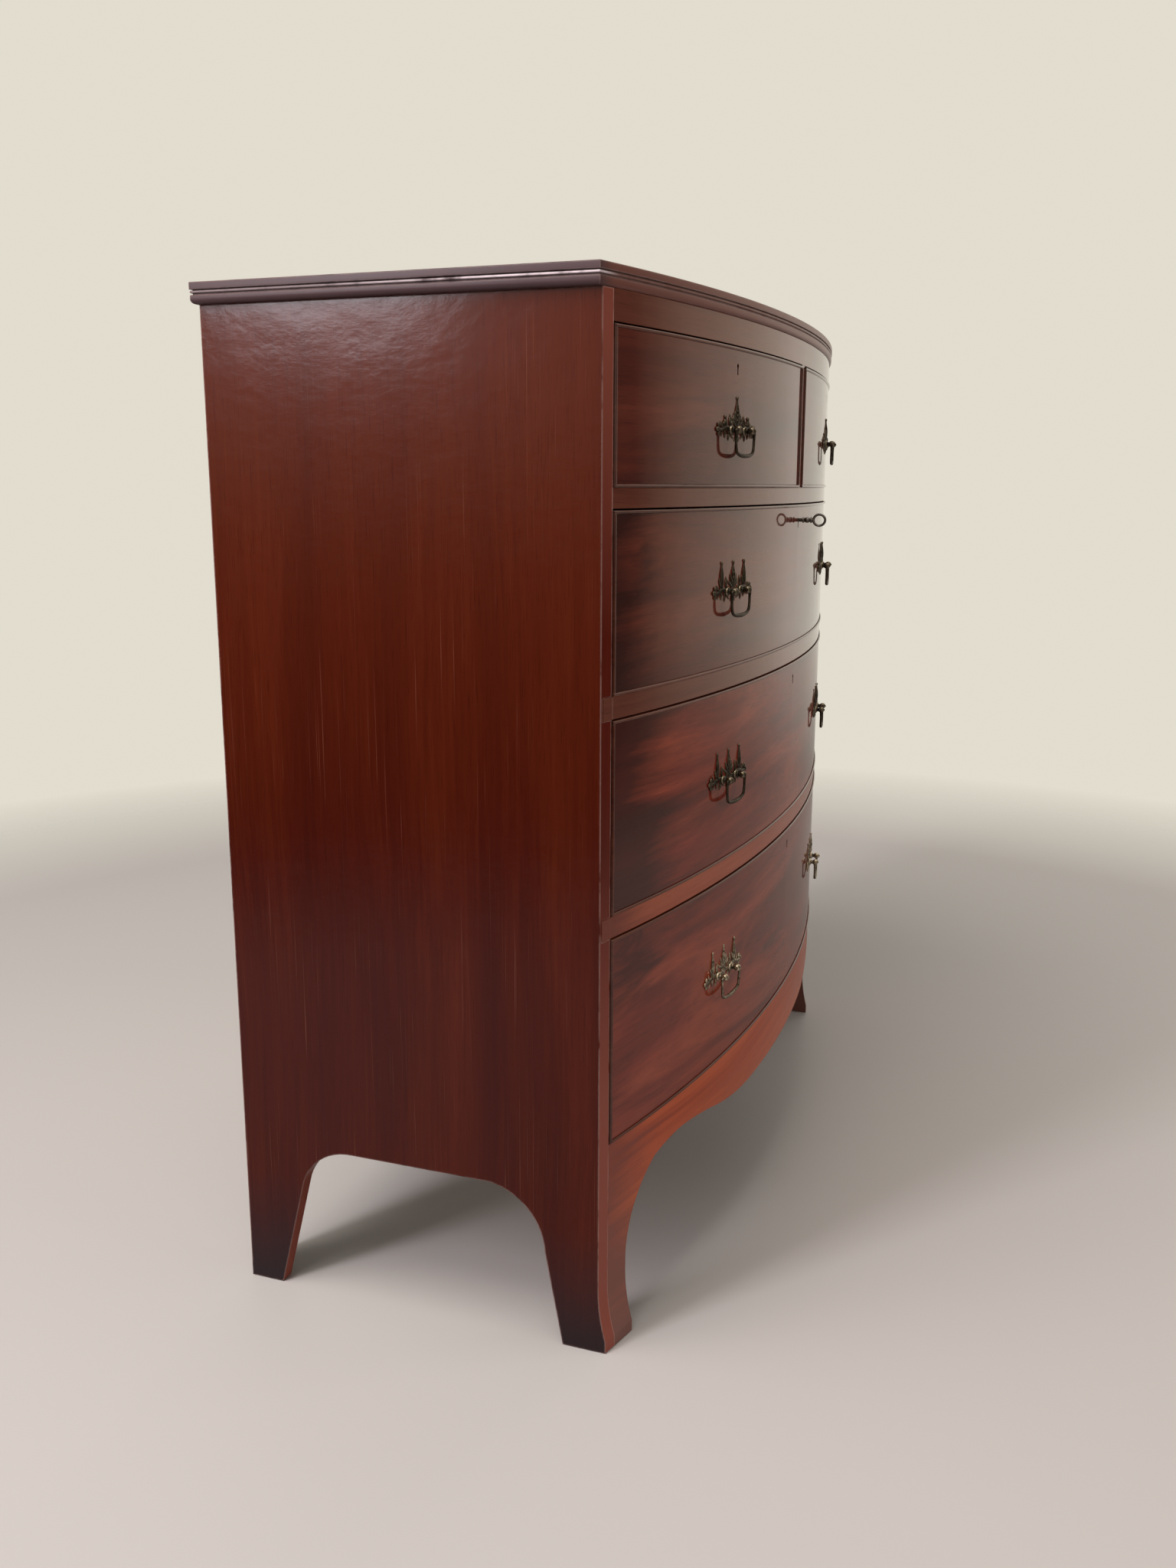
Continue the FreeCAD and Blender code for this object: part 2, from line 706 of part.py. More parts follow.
def make_key():
    """Key with a ring bow, two collars, a barrel that turns on the lock's pin and a bit."""
    ring_y = -key_reach + key_ring_radius
    ring_middle = key_ring_radius - key_ring_wire
    ring = Part.makeTorus(ring_middle, key_ring_wire, Vector(0, ring_y, 0), Vector(1, 0, 0))
    stem_y = ring_y + ring_middle
    shank = rod(key_shank_radius, stem_y, bit_back)
    collars = [rod(key_collar_radius, y, y + key_collar_length)
               for y in (stem_y + key_ring_wire, stem_y + key_ring_wire + 2 * key_collar_length)]
    bit = box(-bit_thickness / 2, bit_thickness / 2, bit_back - bit_width, bit_back, -bit_reach, 0)
    key = ring.fuse([shank, bit] + collars).removeSplitter()
    return key.cut(rod(key_bore_radius, lock_front + lock_wall / 2, bit_back))


def make_drawer(x0, x1, z0, z1, handle_places, finial_share, lock_x):
    """One drawer in its opening: front, beads, dovetailed frame, bottom, handle plates and lock."""
    left = x0 + drawer_side_gap
    right = x1 - drawer_side_gap
    low = z0 + running_gap
    high = z1 - drawer_top_gap
    y_back = back_front_y - drawer_back_gap
    side_top = high - side_top_drop
    panel_low = low + bottom_raise
    panel_top = panel_low + drawer_bottom_thickness

    beads = make_beads(left, right, low, high)
    front = bow_strip(0.0, -front_thickness, left, right, low, high).cut(group(beads))
    y_back_root = y_back - drawer_back_thickness
    back_top = side_top - back_top_drop
    back = box(left, right, y_back_root, y_back, panel_top, back_top)
    sides = []
    for end in (left, right - drawer_side_thickness):
        faces = (end, end + drawer_side_thickness)
        y_lap = max(bow_y(x) for x in faces) + front_lap
        y_root = max(bow_y(x, -front_thickness) for x in faces) + overrun
        side = box(*faces, y_lap, y_back, low, side_top)
        side, front = joined(side, front, make_tails(*faces, y_lap, y_root, low, side_top))
        side, back = joined(side, back, make_tails(*faces, y_back, y_back_root, panel_top, back_top))
        sides.append(side)

    groove_left = left + drawer_side_thickness - bottom_groove
    groove_right = right - drawer_side_thickness + bottom_groove
    groove_offset = bottom_groove - front_thickness
    panel = bow_block(groove_offset, groove_left, groove_right, y_back, panel_low, panel_top)
    front = front.cut(panel)
    sides = [side.cut(panel) for side in sides]

    handles = []
    for x, z in handle_places:
        place = at_bow(x, z)
        posts = [placed(solid, place) for solid in make_posts()]
        front = front.cut(group(posts[0::2]))
        handles += [placed(make_plate(finial_share), place)] + posts

    lock_place = at_bow(lock_x, z1 - key_drop)
    case = make_lock_case()
    half = lock_width / 2
    recess = box(-half, half, lock_front, lock_back, lock_top - lock_height, lock_top)
    front = front.cut(placed(recess, lock_place)).cut(placed(keyhole(-overrun, lock_front), lock_place))
    return {"front": front, "frame": group(sides + [back]), "bottom": panel, "beads": group(beads),
            "handle_plates": group(handles), "lock": placed(case, lock_place)}, lock_place


def make_stops(x0, x1, z):
    """Two small blocks that a closing drawer's front meets."""
    blocks = []
    from_end = (x1 - x0) * stop_place_share
    for x in (x0 + from_end, x1 - from_end):
        start = x - stop_length / 2
        end = x + stop_length / 2
        offset = -front_thickness - stop_gap
        y_end = max(bow_y(start, offset), bow_y(end, offset)) + stop_width
        blocks.append(bow_block(offset, start, end, y_end, z, z + stop_height))
    return blocks


# Carcase
envelope = front_envelope()
arch = apron_arch()
rails = {"lower_rail": make_lapped_rail(lower_rail_z, lower_rail_height, lower_lap_proud),
         "middle_rail": make_lapped_rail(middle_rail_z, middle_rail_height, middle_lap_proud),
         "upper_rail": make_rail(upper_rail_z, upper_rail_height),
         "top_rail": make_rail(top_rail_z, top_rail_height)}
divider = make_divider()
dust_panels = make_dust_panels()
runners = [strip.cut(group(dust_panels)) for strip in make_runners()]
back_boards = make_back_boards()
bottom_board = bow_block(-apron_thickness, -inner_half - tongue, inner_half + tongue, back_front_y,
                         base_height - bottom_thickness, base_height)
apron = bow_strip(0.0, -apron_thickness, -apron_half, apron_half, 0, base_height).cut(arch)
bracket = bow_strip(toe_flare, -apron_thickness, -inner_half, -apron_half, 0, base_height)
front_foot = bracket.common(envelope).cut(arch)
nails = make_nails(back_boards)
screws = make_screws()
top_board = make_top_board().cut(group(screws))

side = box(-half_width, -inner_half, apex_y, back_y, 0, case_height).common(envelope).cut(side_arch())
side = side.cut(group(list(rails.values()) + back_boards + [bottom_board]))
left_side = side.cut(group(nails))
right_side = mirrored(side).cut(group(nails))
back_boards = [board.cut(group(nails)) for board in back_boards]
for rail_name in ("upper_rail", "top_rail"):
    rails[rail_name] = rails[rail_name].cut(divider)
rails = {rail_name: rail.cut(group(dust_panels + screws)) for rail_name, rail in rails.items()}
runners = [strip.cut(group(screws)) for strip in runners]

# Drawers: name, opening, rail above, handles and lock
half_divider = divider_thickness / 2
short_handle_z = short_z + short_opening / 2 - short_handle_drop
pair = (-short_centre_x, short_centre_x)
openings = [("upper_left", -inner_half, -half_divider, short_z, short_opening, "top_rail", pair[:1]),
            ("upper_right", half_divider, inner_half, short_z, short_opening, "top_rail", pair[1:]),
            ("second", -inner_half, inner_half, second_z, second_opening, "upper_rail", pair),
            ("third", -inner_half, inner_half, third_z, third_opening, "middle_rail", pair),
            ("bottom", -inner_half, inner_half, base_height, bottom_opening, "lower_rail", pair)]
mortise_top = key_drop + bolt_throw + mortise_room
pieces = {}
stops = []
for name, x0, x1, z0, height, rail_above, handle_xs in openings:
    is_short = len(handle_xs) == 1
    handle_z = short_handle_z if is_short else z0 + height / 2 - handle_drop
    finial_share = short_finial_share if is_short else 1.0
    lock_x = (x0 + x1) / 2
    handle_places = [(x, handle_z) for x in handle_xs]
    nodes, lock_place = make_drawer(x0, x1, z0, z0 + height, handle_places, finial_share, lock_x)
    mortise = placed(bolt_space(mortise_top, mortise_room), lock_place)
    rails[rail_above] = rails[rail_above].cut(mortise)
    bolt = placed(make_bolt(), lock_place)
    if name == "second":
        pieces["lock_bolt"] = bolt
        pieces["key"] = placed(make_key(), lock_place)
    else:
        nodes["lock"] = group([nodes["lock"], bolt])
    for part_name, shape in nodes.items():
        pieces[name + "_drawer_" + part_name] = shape
    for x in handle_xs:
        side_name = "" if is_short else ("_left" if x < 0 else "_right")
        pieces[name + side_name + "_bail"] = placed(make_bail(), at_bow(x, handle_z))
    stops += make_stops(x0, x1, z0)

pieces.update(rails)
pieces.update({"top_board": top_board, "left_side": left_side, "right_side": right_side,
               "back_boards": group(back_boards), "centre_divider": divider,
               "dust_panels": group(dust_panels), "bottom_board": bottom_board,
               "runners_and_kickers": group(runners), "apron": apron,
               "left_front_foot": front_foot, "right_front_foot": mirrored(front_foot),
               "rear_brackets": group(make_rear_brackets()), "glue_blocks": group(make_glue_blocks()),
               "drawer_stops": group(stops), "back_nails": group(nails), "top_screws": group(screws)})

for name, shape in pieces.items():
    if not shape.isValid():
        print("not valid:", name)
    shape.exportStep("parts/" + name + ".step")
print(len(pieces), "nodes")
for name, shape in sorted(pieces.items()):
    bounds = shape.BoundBox
    print(name, len(shape.Solids), round(shape.Volume), [round(v, 2) for v in (
        bounds.XMin, bounds.XMax, bounds.YMin, bounds.YMax, bounds.ZMin, bounds.ZMax)])
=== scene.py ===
import json
import math

import bpy
from mathutils import Matrix, Vector

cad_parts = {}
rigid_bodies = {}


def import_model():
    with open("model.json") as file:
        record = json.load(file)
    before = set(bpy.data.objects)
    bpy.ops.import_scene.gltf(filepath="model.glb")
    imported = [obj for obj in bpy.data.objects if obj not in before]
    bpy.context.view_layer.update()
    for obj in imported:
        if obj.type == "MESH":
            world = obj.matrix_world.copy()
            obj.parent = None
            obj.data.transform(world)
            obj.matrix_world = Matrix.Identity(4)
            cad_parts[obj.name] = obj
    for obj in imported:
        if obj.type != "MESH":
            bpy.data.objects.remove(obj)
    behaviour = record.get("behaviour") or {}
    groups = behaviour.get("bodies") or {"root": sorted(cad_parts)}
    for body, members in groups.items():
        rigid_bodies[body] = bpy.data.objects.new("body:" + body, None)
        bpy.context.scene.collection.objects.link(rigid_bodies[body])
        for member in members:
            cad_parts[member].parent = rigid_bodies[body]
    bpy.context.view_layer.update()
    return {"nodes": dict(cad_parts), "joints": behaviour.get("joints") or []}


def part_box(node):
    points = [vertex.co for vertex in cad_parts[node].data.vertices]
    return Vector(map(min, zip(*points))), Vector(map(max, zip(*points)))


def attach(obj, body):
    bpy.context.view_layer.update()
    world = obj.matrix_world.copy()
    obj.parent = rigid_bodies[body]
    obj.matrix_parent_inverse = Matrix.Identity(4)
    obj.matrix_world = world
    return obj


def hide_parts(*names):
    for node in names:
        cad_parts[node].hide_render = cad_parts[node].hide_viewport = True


# The chest as the joiner leaves it: carcase, drawers and brass in one frame,
# in metres, with the bowed front towards -Y and the floor at Z = 0.
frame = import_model()
nodes = frame["nodes"]


# The two sides are single boards of mahogany with the grain upright, running down
# unbroken into the feet. They are stained red-brown, and their French polish is dulled and uneven.
def layer(tree, kind, feeds=None, **settings):
    """One step of a finish: a node with its settings, fed by other steps or by plain values."""
    node = tree.nodes.new("ShaderNode" + kind)
    for setting, value in settings.items():
        setattr(node, setting, value)
    for socket, feed in (feeds or {}).items():
        if isinstance(feed, bpy.types.NodeSocket):
            tree.links.new(feed, node.inputs[socket])
        else:
            node.inputs[socket].default_value = feed
    return node


def blend_tones(tree, share, first, second):
    """Colour between two tones."""
    return layer(tree, "Mix", {0: share, 6: first, 7: second}, data_type="RGBA").outputs[2]


def tone_run(tree, share, stops):
    """Colour read off a run of tones."""
    ramp = layer(tree, "ValToRGB", {0: share})
    elements = ramp.color_ramp.elements
    while len(elements) < len(stops):
        elements.new(0.5)
    for element, (place, tone) in zip(elements, stops):
        element.position = place
        element.color = tone
    return ramp.outputs[0]


def spread(tree, value, low, high, to_low=0.0, to_high=1.0, clamp=True):
    """A value stretched from one range to another, and held inside it if clamped."""
    feeds = {0: value, 1: low, 2: high, 3: to_low, 4: to_high}
    return layer(tree, "MapRange", feeds, clamp=clamp).outputs[0]


def sum_of(tree, first, second, share=1.0):
    """First plus a share of second."""
    return layer(tree, "Math", {0: second, 1: share, 2: first}, operation="MULTIPLY_ADD").outputs[0]


def both(tree, first, second):
    """Where two shares hold together."""
    return layer(tree, "Math", {0: first, 1: second}, operation="MULTIPLY").outputs[0]


def unsigned(tree, value):
    """A value without its sign."""
    return layer(tree, "Math", {0: value}, operation="ABSOLUTE").outputs[0]


def fibres(tree, place, scale, detail=3.0, rough=0.55, twist=0.0):
    """Noise drawn out along the grain."""
    run = layer(tree, "Mapping", {"Vector": place, "Scale": scale})
    noise = layer(tree, "TexNoise", {"Vector": run.outputs[0], "Scale": 1.0, "Detail": detail,
                                     "Roughness": rough, "Distortion": twist})
    return noise.outputs[0]


def swayed(tree, place, scale, reach):
    """A place pushed about by slow noise, so that the grain wanders."""
    noise = layer(tree, "TexNoise", {"Vector": place, "Scale": scale, "Detail": 2.0})
    return layer(tree, "VectorMath", {0: noise.outputs[1], 1: (reach, reach, reach), 2: place},
                 operation="MULTIPLY_ADD").outputs[0]


def grain_run(axis, across, along, bowed=False):
    """Scales for a grain along one axis. On a bowed piece the pattern ignores the depth of the bow."""
    scale = [across, across, across]
    scale["XYZ".index(axis)] = along
    if bowed:
        scale[1] = along
    return scale


def fresh_finish(name):
    """An empty finish with its node tree and the place on the piece."""
    finish = bpy.data.materials.new(name)
    finish.use_nodes = True
    tree = finish.node_tree
    tree.nodes.clear()
    return finish, tree, layer(tree, "TexCoord").outputs["Object"]


def lip_colour(tree, along, tone, middle_tones, end_tone):
    """A side's front edge, which fades towards its two ends."""
    off_middle = unsigned(tree, spread(tree, along[2], 0.12, 1.12, -0.5, 0.5))
    middle = tone_run(tree, tone, middle_tones)
    return blend_tones(tree, spread(tree, off_middle, 0.10, 0.36), middle, end_tone)


def scratched(tree, colour, place, run, strength):
    """Fine pale scratches along the grain, gathered in scuffed places."""
    lines = spread(tree, fibres(tree, place, run, detail=2.0), 0.63, 0.72, 0.0, strength)
    scuffs = spread(tree, fibres(tree, place, (14.0, 14.0, 9.0)), 0.42, 0.68)
    return blend_tones(tree, both(tree, lines, scuffs), colour, (0.26, 0.09, 0.055, 1.0))


def eased_edges(tree, plain, radius):
    """A normal rounded over the edges, and how far it still agrees with the plain one."""
    rounded = layer(tree, "Bevel", {"Radius": radius}, samples=4).outputs[0]
    turn = layer(tree, "VectorMath", {0: rounded, 1: plain}, operation="DOT_PRODUCT")
    return rounded, turn.outputs["Value"]


def bumped(tree, height, strength, depth, normal=None):
    """A normal that follows a height, laid over another normal where one is given."""
    feeds = {"Height": height, "Strength": strength, "Distance": depth}
    if normal is not None:
        feeds["Normal"] = normal
    return layer(tree, "Bump", feeds).outputs[0]


def surfaced(tree, feeds):
    """Ends a finish in one shader."""
    skin = layer(tree, "BsdfPrincipled", feeds)
    layer(tree, "OutputMaterial", {"Surface": skin.outputs[0]})


def polished_mahogany(name, axis, tones, shift=(0.0, 0.0, 0.0), bowed=False, figure=0.0, patches=(),
                      painted_dark_end_x=None, end_tone=None, painted_light_above=0.0, low_shade_and_wear=None, lip=None, moulding=None,
                      scratches=0.0, worn=(0.30, 0.085, 0.035, 1.0), wear=(0.42, 0.62), edge=0.0011,
                      polish=1.0, gloss=0.1, wave=0.06, uneven=False):
    """Stained and polished mahogany: grain, pores, rubbed edges with a painted highlight, and the marks that
    a piece asks for, some of them painted light and shade.

    Marks that only the rails, the top or the drawer fronts have are defined in their sections.
    """
    finish, tree, coords = fresh_finish(name)
    along = layer(tree, "SeparateXYZ", {0: coords}).outputs
    plain = layer(tree, "NewGeometry").outputs["Normal"]
    facing = layer(tree, "SeparateXYZ", {0: plain}).outputs
    moved = layer(tree, "Mapping", {"Vector": coords, "Location": shift}).outputs[0]
    place = swayed(tree, moved, 2.6, 0.03)
    bands = fibres(tree, place, grain_run(axis, 11.0, 0.7, bowed), detail=5.0, rough=0.68, twist=0.4)
    streaks = fibres(tree, place, grain_run(axis, 190.0, 3.0, bowed), detail=4.0, rough=0.65)
    pores = spread(tree, fibres(tree, moved, grain_run(axis, 1300.0, 34.0, bowed), detail=1.0), 0.60, 0.72)
    tone = sum_of(tree, spread(tree, bands, 0.28, 0.72, 0.0, 0.72), spread(tree, streaks, 0.25, 0.75), 0.28)
    colour = tone_run(tree, tone, tones)
    darkest, palest = tones[0][1], tones[-1][1]
    if figure:
        tongues = fibres(tree, place, grain_run(axis, 9.0, 1.5, bowed), detail=5.0, rough=0.6, twist=0.9)
        colour = flamed(tree, colour, tongues, tones, figure)
    for patch in patches:
        eddy = fibres(tree, place, grain_run(axis, 60.0, 14.0, bowed), detail=4.0, twist=1.2)
        colour = clouded(tree, colour, along, eddy, patch, darkest)
    if painted_dark_end_x:
        colour = painted_dark_left_end(tree, colour, along, streaks, bands, painted_dark_end_x, end_tone or darkest)
    # Paler towards the top: painted light.
    if painted_light_above:
        colour = blend_tones(tree, spread(tree, along[2], 0.45, 0.95, 0.0, painted_light_above), colour, palest)
    colour = blend_tones(tree, spread(tree, pores, 0.0, 1.0, 0.0, 0.42), colour, darkest)
    # A tone towards the floor: on the sides a painted shade with a painted reflection of the shaded floor, on
    # the feet wear with a painted reflection of the floor.
    if low_shade_and_wear:
        plain_above, toned_below, share, toward_floor_tone = low_shade_and_wear
        colour = blend_tones(tree, spread(tree, along[2], plain_above, toned_below, 0.0, share), colour, toward_floor_tone)
    if lip:
        forward = spread(tree, facing[1], -0.6, -0.9)
        colour = blend_tones(tree, forward, colour, lip_colour(tree, along, tone, *lip))
    coat = polish
    if bowed:
        coat = spread(tree, facing[2], 0.93, 0.985, polish, 0.03)
    if moulding:
        colour, coat = edge_moulded(tree, colour, along, facing[2], polish, moulding)
    if scratches:
        colour = scratched(tree, colour, moved, grain_run(axis, 620.0, 4.0, bowed), scratches)
    # Pale rubbed edges: wear, and where the worn tone is pale, as on the sides and the top, also a painted
    # highlight along the rounded edges.
    rounded, turn = eased_edges(tree, plain, edge)
    patchy = spread(tree, fibres(tree, coords, (42.0, 42.0, 42.0)), *wear)
    rubbed_and_highlit = both(tree, spread(tree, turn, 0.995, 0.86), patchy)
    colour = blend_tones(tree, spread(tree, rubbed_and_highlit, 0.0, 1.0, 0.0, 0.8), colour, worn)
    if moulding:
        colour = bead_highlight_line(tree, colour, along, patchy, moulding)
    ripple = bumped(tree, sum_of(tree, streaks, pores, -0.7), 0.25, 0.00012, rounded)
    swell = fibres(tree, coords, (16.0, 16.0, 16.0), detail=2.0)
    if uneven:
        swell = fibres(tree, coords, (16.0, 22.0, 34.0), detail=5.0, rough=0.6)
    wavy = bumped(tree, swell, wave, 0.002, rounded)
    rough = sum_of(tree, spread(tree, streaks, 0.3, 0.7, 0.36, 0.48), rubbed_and_highlit, 0.12)
    surfaced(tree, {"Base Color": colour, "Roughness": rough, "Specular IOR Level": 0.02, "Normal": ripple,
                    "Coat Weight": coat, "Coat Roughness": gloss, "Coat IOR": 1.5, "Coat Normal": wavy})
    return finish


def dress(finish, *names):
    """Gives CAD pieces their finish."""
    for name in names:
        nodes[name].data.materials.clear()
        nodes[name].data.materials.append(finish)


side_tones = [(0.0, (0.028, 0.0017, 0.0004, 1.0)), (0.42, (0.052, 0.0042, 0.0009, 1.0)),
              (0.75, (0.078, 0.0094, 0.0020, 1.0)), (1.0, (0.118, 0.0190, 0.0044, 1.0))]
lip_tones = [(0.0, (0.065, 0.0050, 0.0012, 1.0)), (0.5, (0.100, 0.0085, 0.0022, 1.0)),
             (1.0, (0.150, 0.0200, 0.0060, 1.0))]
lip_ends = (0.270, 0.070, 0.047, 1.0)
# The sides darken towards the floor, a painted shade with a painted reflection of the shaded floor, and grow
# paler towards the top, painted light. The pale tone of their rubbed edges is wear with a painted highlight.
side_low_shade = (0.13, 0.01, 0.9, (0.017, 0.011, 0.013, 1.0))
side_finish = polished_mahogany("side_mahogany", "Z", side_tones, painted_light_above=0.45, low_shade_and_wear=side_low_shade,
                                lip=(lip_tones, lip_ends), scratches=0.3, worn=(0.60, 0.38, 0.33, 1.0),
                                wear=(0.30, 0.50), edge=0.0022, polish=0.36, gloss=0.16, wave=0.16,
                                uneven=True)
dress(side_finish, "left_side", "right_side")


# Behind the polished wood the carcase is pine: bottom board, dust panels, runners with
# kickers, back boards, glue blocks, drawer stops and rear brackets, planed and darkened by age.
def bare_wood(name, axis, tones, rough=0.62, shift=(0.0, 0.0, 0.0), boards=None):
    """Planed softwood or oak without polish, with growth lines, fibres and handling marks."""
    finish, tree, coords = fresh_finish(name)
    moved = layer(tree, "Mapping", {"Vector": coords, "Location": shift}).outputs[0]
    if boards:
        lowest, pitch = boards
        height = layer(tree, "SeparateXYZ", {0: coords}).outputs[2]
        count = spread(tree, height, lowest, lowest + pitch, clamp=False)
        board = layer(tree, "Math", {0: count}, operation="FLOOR").outputs[0]
        apart = layer(tree, "VectorMath", {0: board, 1: (0.83, 0.0, 0.37)}, operation="MULTIPLY").outputs[0]
        moved = layer(tree, "VectorMath", {0: moved, 1: apart}, operation="ADD").outputs[0]
    place = swayed(tree, moved, 2.0, 0.06)
    rings = fibres(tree, place, grain_run(axis, 64.0, 0.9), rough=0.65, twist=0.3)
    threads = fibres(tree, place, grain_run(axis, 420.0, 6.0))
    marks = fibres(tree, coords, (7.0, 7.0, 7.0), detail=4.0)
    tone = sum_of(tree, spread(tree, rings, 0.32, 0.68, 0.0, 0.6), spread(tree, threads, 0.3, 0.7), 0.4)
    colour = tone_run(tree, tone, tones)
    colour = blend_tones(tree, spread(tree, marks, 0.45, 0.75, 0.0, 0.4), colour, tones[0][1])
    if boards:
        across = layer(tree, "Math", {0: count}, operation="FRACT").outputs[0]
        off_middle = unsigned(tree, spread(tree, across, 0.0, 1.0, -0.5, 0.5))
        seam = spread(tree, off_middle, 0.478, 0.497, 0.0, 0.8)
        colour = blend_tones(tree, seam, colour, (0.020, 0.012, 0.008, 1.0))
    dullness = spread(tree, threads, 0.3, 0.7, rough - 0.06, rough + 0.1)
    surfaced(tree, {"Base Color": colour, "Roughness": dullness, "Specular IOR Level": 0.3,
                    "Normal": bumped(tree, threads, 0.4, 0.0002)})
    return finish


pine_tones = [(0.0, (0.105, 0.056, 0.026, 1.0)), (0.5, (0.215, 0.124, 0.060, 1.0)),
              (1.0, (0.310, 0.195, 0.102, 1.0))]
back_low, back_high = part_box("back_boards")
board_count = 4
board_gap = 0.0005
back_split = (back_low.z - board_gap / 2, (back_high.z - back_low.z + board_gap) / board_count)
dress(bare_wood("pine_across", "X", pine_tones), "bottom_board", "dust_panels", "rear_brackets")
dress(bare_wood("pine_back", "X", pine_tones, boards=back_split), "back_boards")
dress(bare_wood("pine_front_to_back", "Y", pine_tones, shift=(0.3, 0.1, 0.7)), "runners_and_kickers")
dress(bare_wood("pine_upright", "Z", pine_tones, shift=(0.1, 0.6, 0.2)), "glue_blocks", "drawer_stops")


# Rails and divider between the drawers are mahogany worked to the bow, tongued into the
# sides. The two lower rails also lap across the front edges of the sides.
def painted_dark_left_end(tree, colour, along, streaks, bands, end_x, dark):
    """A darker left end with a ragged border: painted shade, and on the drawer fronts a painted dark
    reflection.
    """
    ragged = sum_of(tree, sum_of(tree, along[0], streaks, 0.04), spread(tree, bands, 0.3, 0.7, -0.06, 0.06))
    return blend_tones(tree, spread(tree, ragged, end_x + 0.05, end_x - 0.02, 0.0, 0.85), colour, dark)


rail_tones = [(0.0, (0.060, 0.013, 0.008, 1.0)), (0.40, (0.120, 0.029, 0.016, 1.0)),
              (0.75, (0.165, 0.045, 0.024, 1.0)), (1.0, (0.220, 0.070, 0.036, 1.0))]
low_rail_tones = [(0.0, (0.130, 0.020, 0.009, 1.0)), (0.40, (0.290, 0.054, 0.022, 1.0)),
                  (0.75, (0.400, 0.092, 0.040, 1.0)), (1.0, (0.500, 0.150, 0.070, 1.0))]
rail_finish = polished_mahogany("rail_mahogany", "X", rail_tones, shift=(0.4, 0.0, 0.13), bowed=True,
                                gloss=0.07)
# The lower rail darkens at its left end: painted shade.
low_rail_finish = polished_mahogany("low_rail_mahogany", "X", low_rail_tones, shift=(0.9, 0.0, 0.4),
                                    bowed=True, painted_dark_end_x=-0.432, polish=0.8, gloss=0.09)
divider_finish = polished_mahogany("divider_mahogany", "Z", rail_tones, shift=(0.2, 0.1, 0.0), gloss=0.08)
dress(rail_finish, "top_rail", "upper_rail", "middle_rail")
dress(low_rail_finish, "lower_rail")
dress(divider_finish, "centre_divider")


# The apron and the bracket feet are sawn from lighter mahogany and run on from the rails.
# The feet curve out at the toe, and towards the floor they go a dull brown, wear with a painted reflection of
# the floor.
light_tones = [(0.0, (0.185, 0.022, 0.007, 1.0)), (0.40, (0.410, 0.066, 0.019, 1.0)),
               (0.75, (0.560, 0.110, 0.032, 1.0)), (1.0, (0.640, 0.165, 0.055, 1.0))]
foot_low_wear_and_reflection = (0.20, 0.02, 0.9, (0.190, 0.085, 0.068, 1.0))
# The apron and the feet darken at their left ends: painted shade.
foot_finish = polished_mahogany("foot_mahogany", "X", light_tones, shift=(0.1, 0.0, 0.37), bowed=True,
                                painted_dark_end_x=-0.445, end_tone=(0.190, 0.045, 0.030, 1.0), low_shade_and_wear=foot_low_wear_and_reflection,
                                worn=(0.26, 0.105, 0.078, 1.0), polish=0.6, gloss=0.12)
dress(foot_finish, "apron", "left_front_foot", "right_front_foot")


# The top is one wide board with the grain from side to side. Its edge is moulded with a
# band, a bead between two quirks and a torus. Iron screws hold it from below.
def alone(*pieces):
    """Leaves only these pieces selected, the first one active."""
    bpy.ops.object.select_all(action="DESELECT")
    for piece in pieces:
        piece.select_set(True)
    bpy.context.view_layer.objects.active = pieces[0]


def settle(piece):
    """Puts a piece's place, turn and scale into its mesh."""
    alone(piece)
    bpy.ops.object.transform_apply(location=True, rotation=True, scale=True)


def apply_all(piece):
    """Applies every modifier of a piece."""
    alone(piece)
    for modifier in list(piece.modifiers):
        bpy.ops.object.modifier_apply(modifier=modifier.name)


def worked_with(piece, tools, operation):
    """Joins other shapes to a piece, or cuts them out of it, and uses them up."""
    for tool in tools:
        step = piece.modifiers.new("worked", "BOOLEAN")
        step.operation = operation
        step.solver = "EXACT"
        step.object = tool
    apply_all(piece)
    for tool in tools:
        bpy.data.objects.remove(tool)


def face_outwards(piece):
    """Merges doubled corners and turns every face outwards."""
    alone(piece)
    bpy.ops.object.mode_set(mode="EDIT")
    bpy.ops.mesh.select_all(action="SELECT")
    bpy.ops.mesh.remove_doubles(threshold=0.000002)
    bpy.ops.mesh.normals_make_consistent(inside=False)
    bpy.ops.object.mode_set(mode="OBJECT")


def smoothed(piece, degrees):
    """Shades a piece smooth, but for edges sharper than an angle."""
    alone(piece)
    bpy.ops.object.shade_smooth_by_angle(angle=math.radians(degrees))


def finished_in(piece, finish):
    """Gives a modelled piece one finish."""
    piece.data.materials.clear()
    piece.data.materials.append(finish)


def edge_moulded(tree, colour, along, upward, polish, moulding):
    """The tone of a moulded edge on the ends of the top and along its front, and its polish. The grey-purple
    on the ends is partly dulled polish and partly a painted sheen.
    """
    corner_y = moulding["corner_y"]
    ahead = spread(tree, along[1], corner_y + 0.003, corner_y - 0.003)
    edge_tone = blend_tones(tree, ahead, moulding["end_tone"], moulding["front_tone"])
    colour = blend_tones(tree, spread(tree, upward, 0.95, 0.6, 0.0, 0.75), colour, edge_tone)
    return colour, spread(tree, ahead, 0.0, 1.0, polish, moulding["front_polish"])


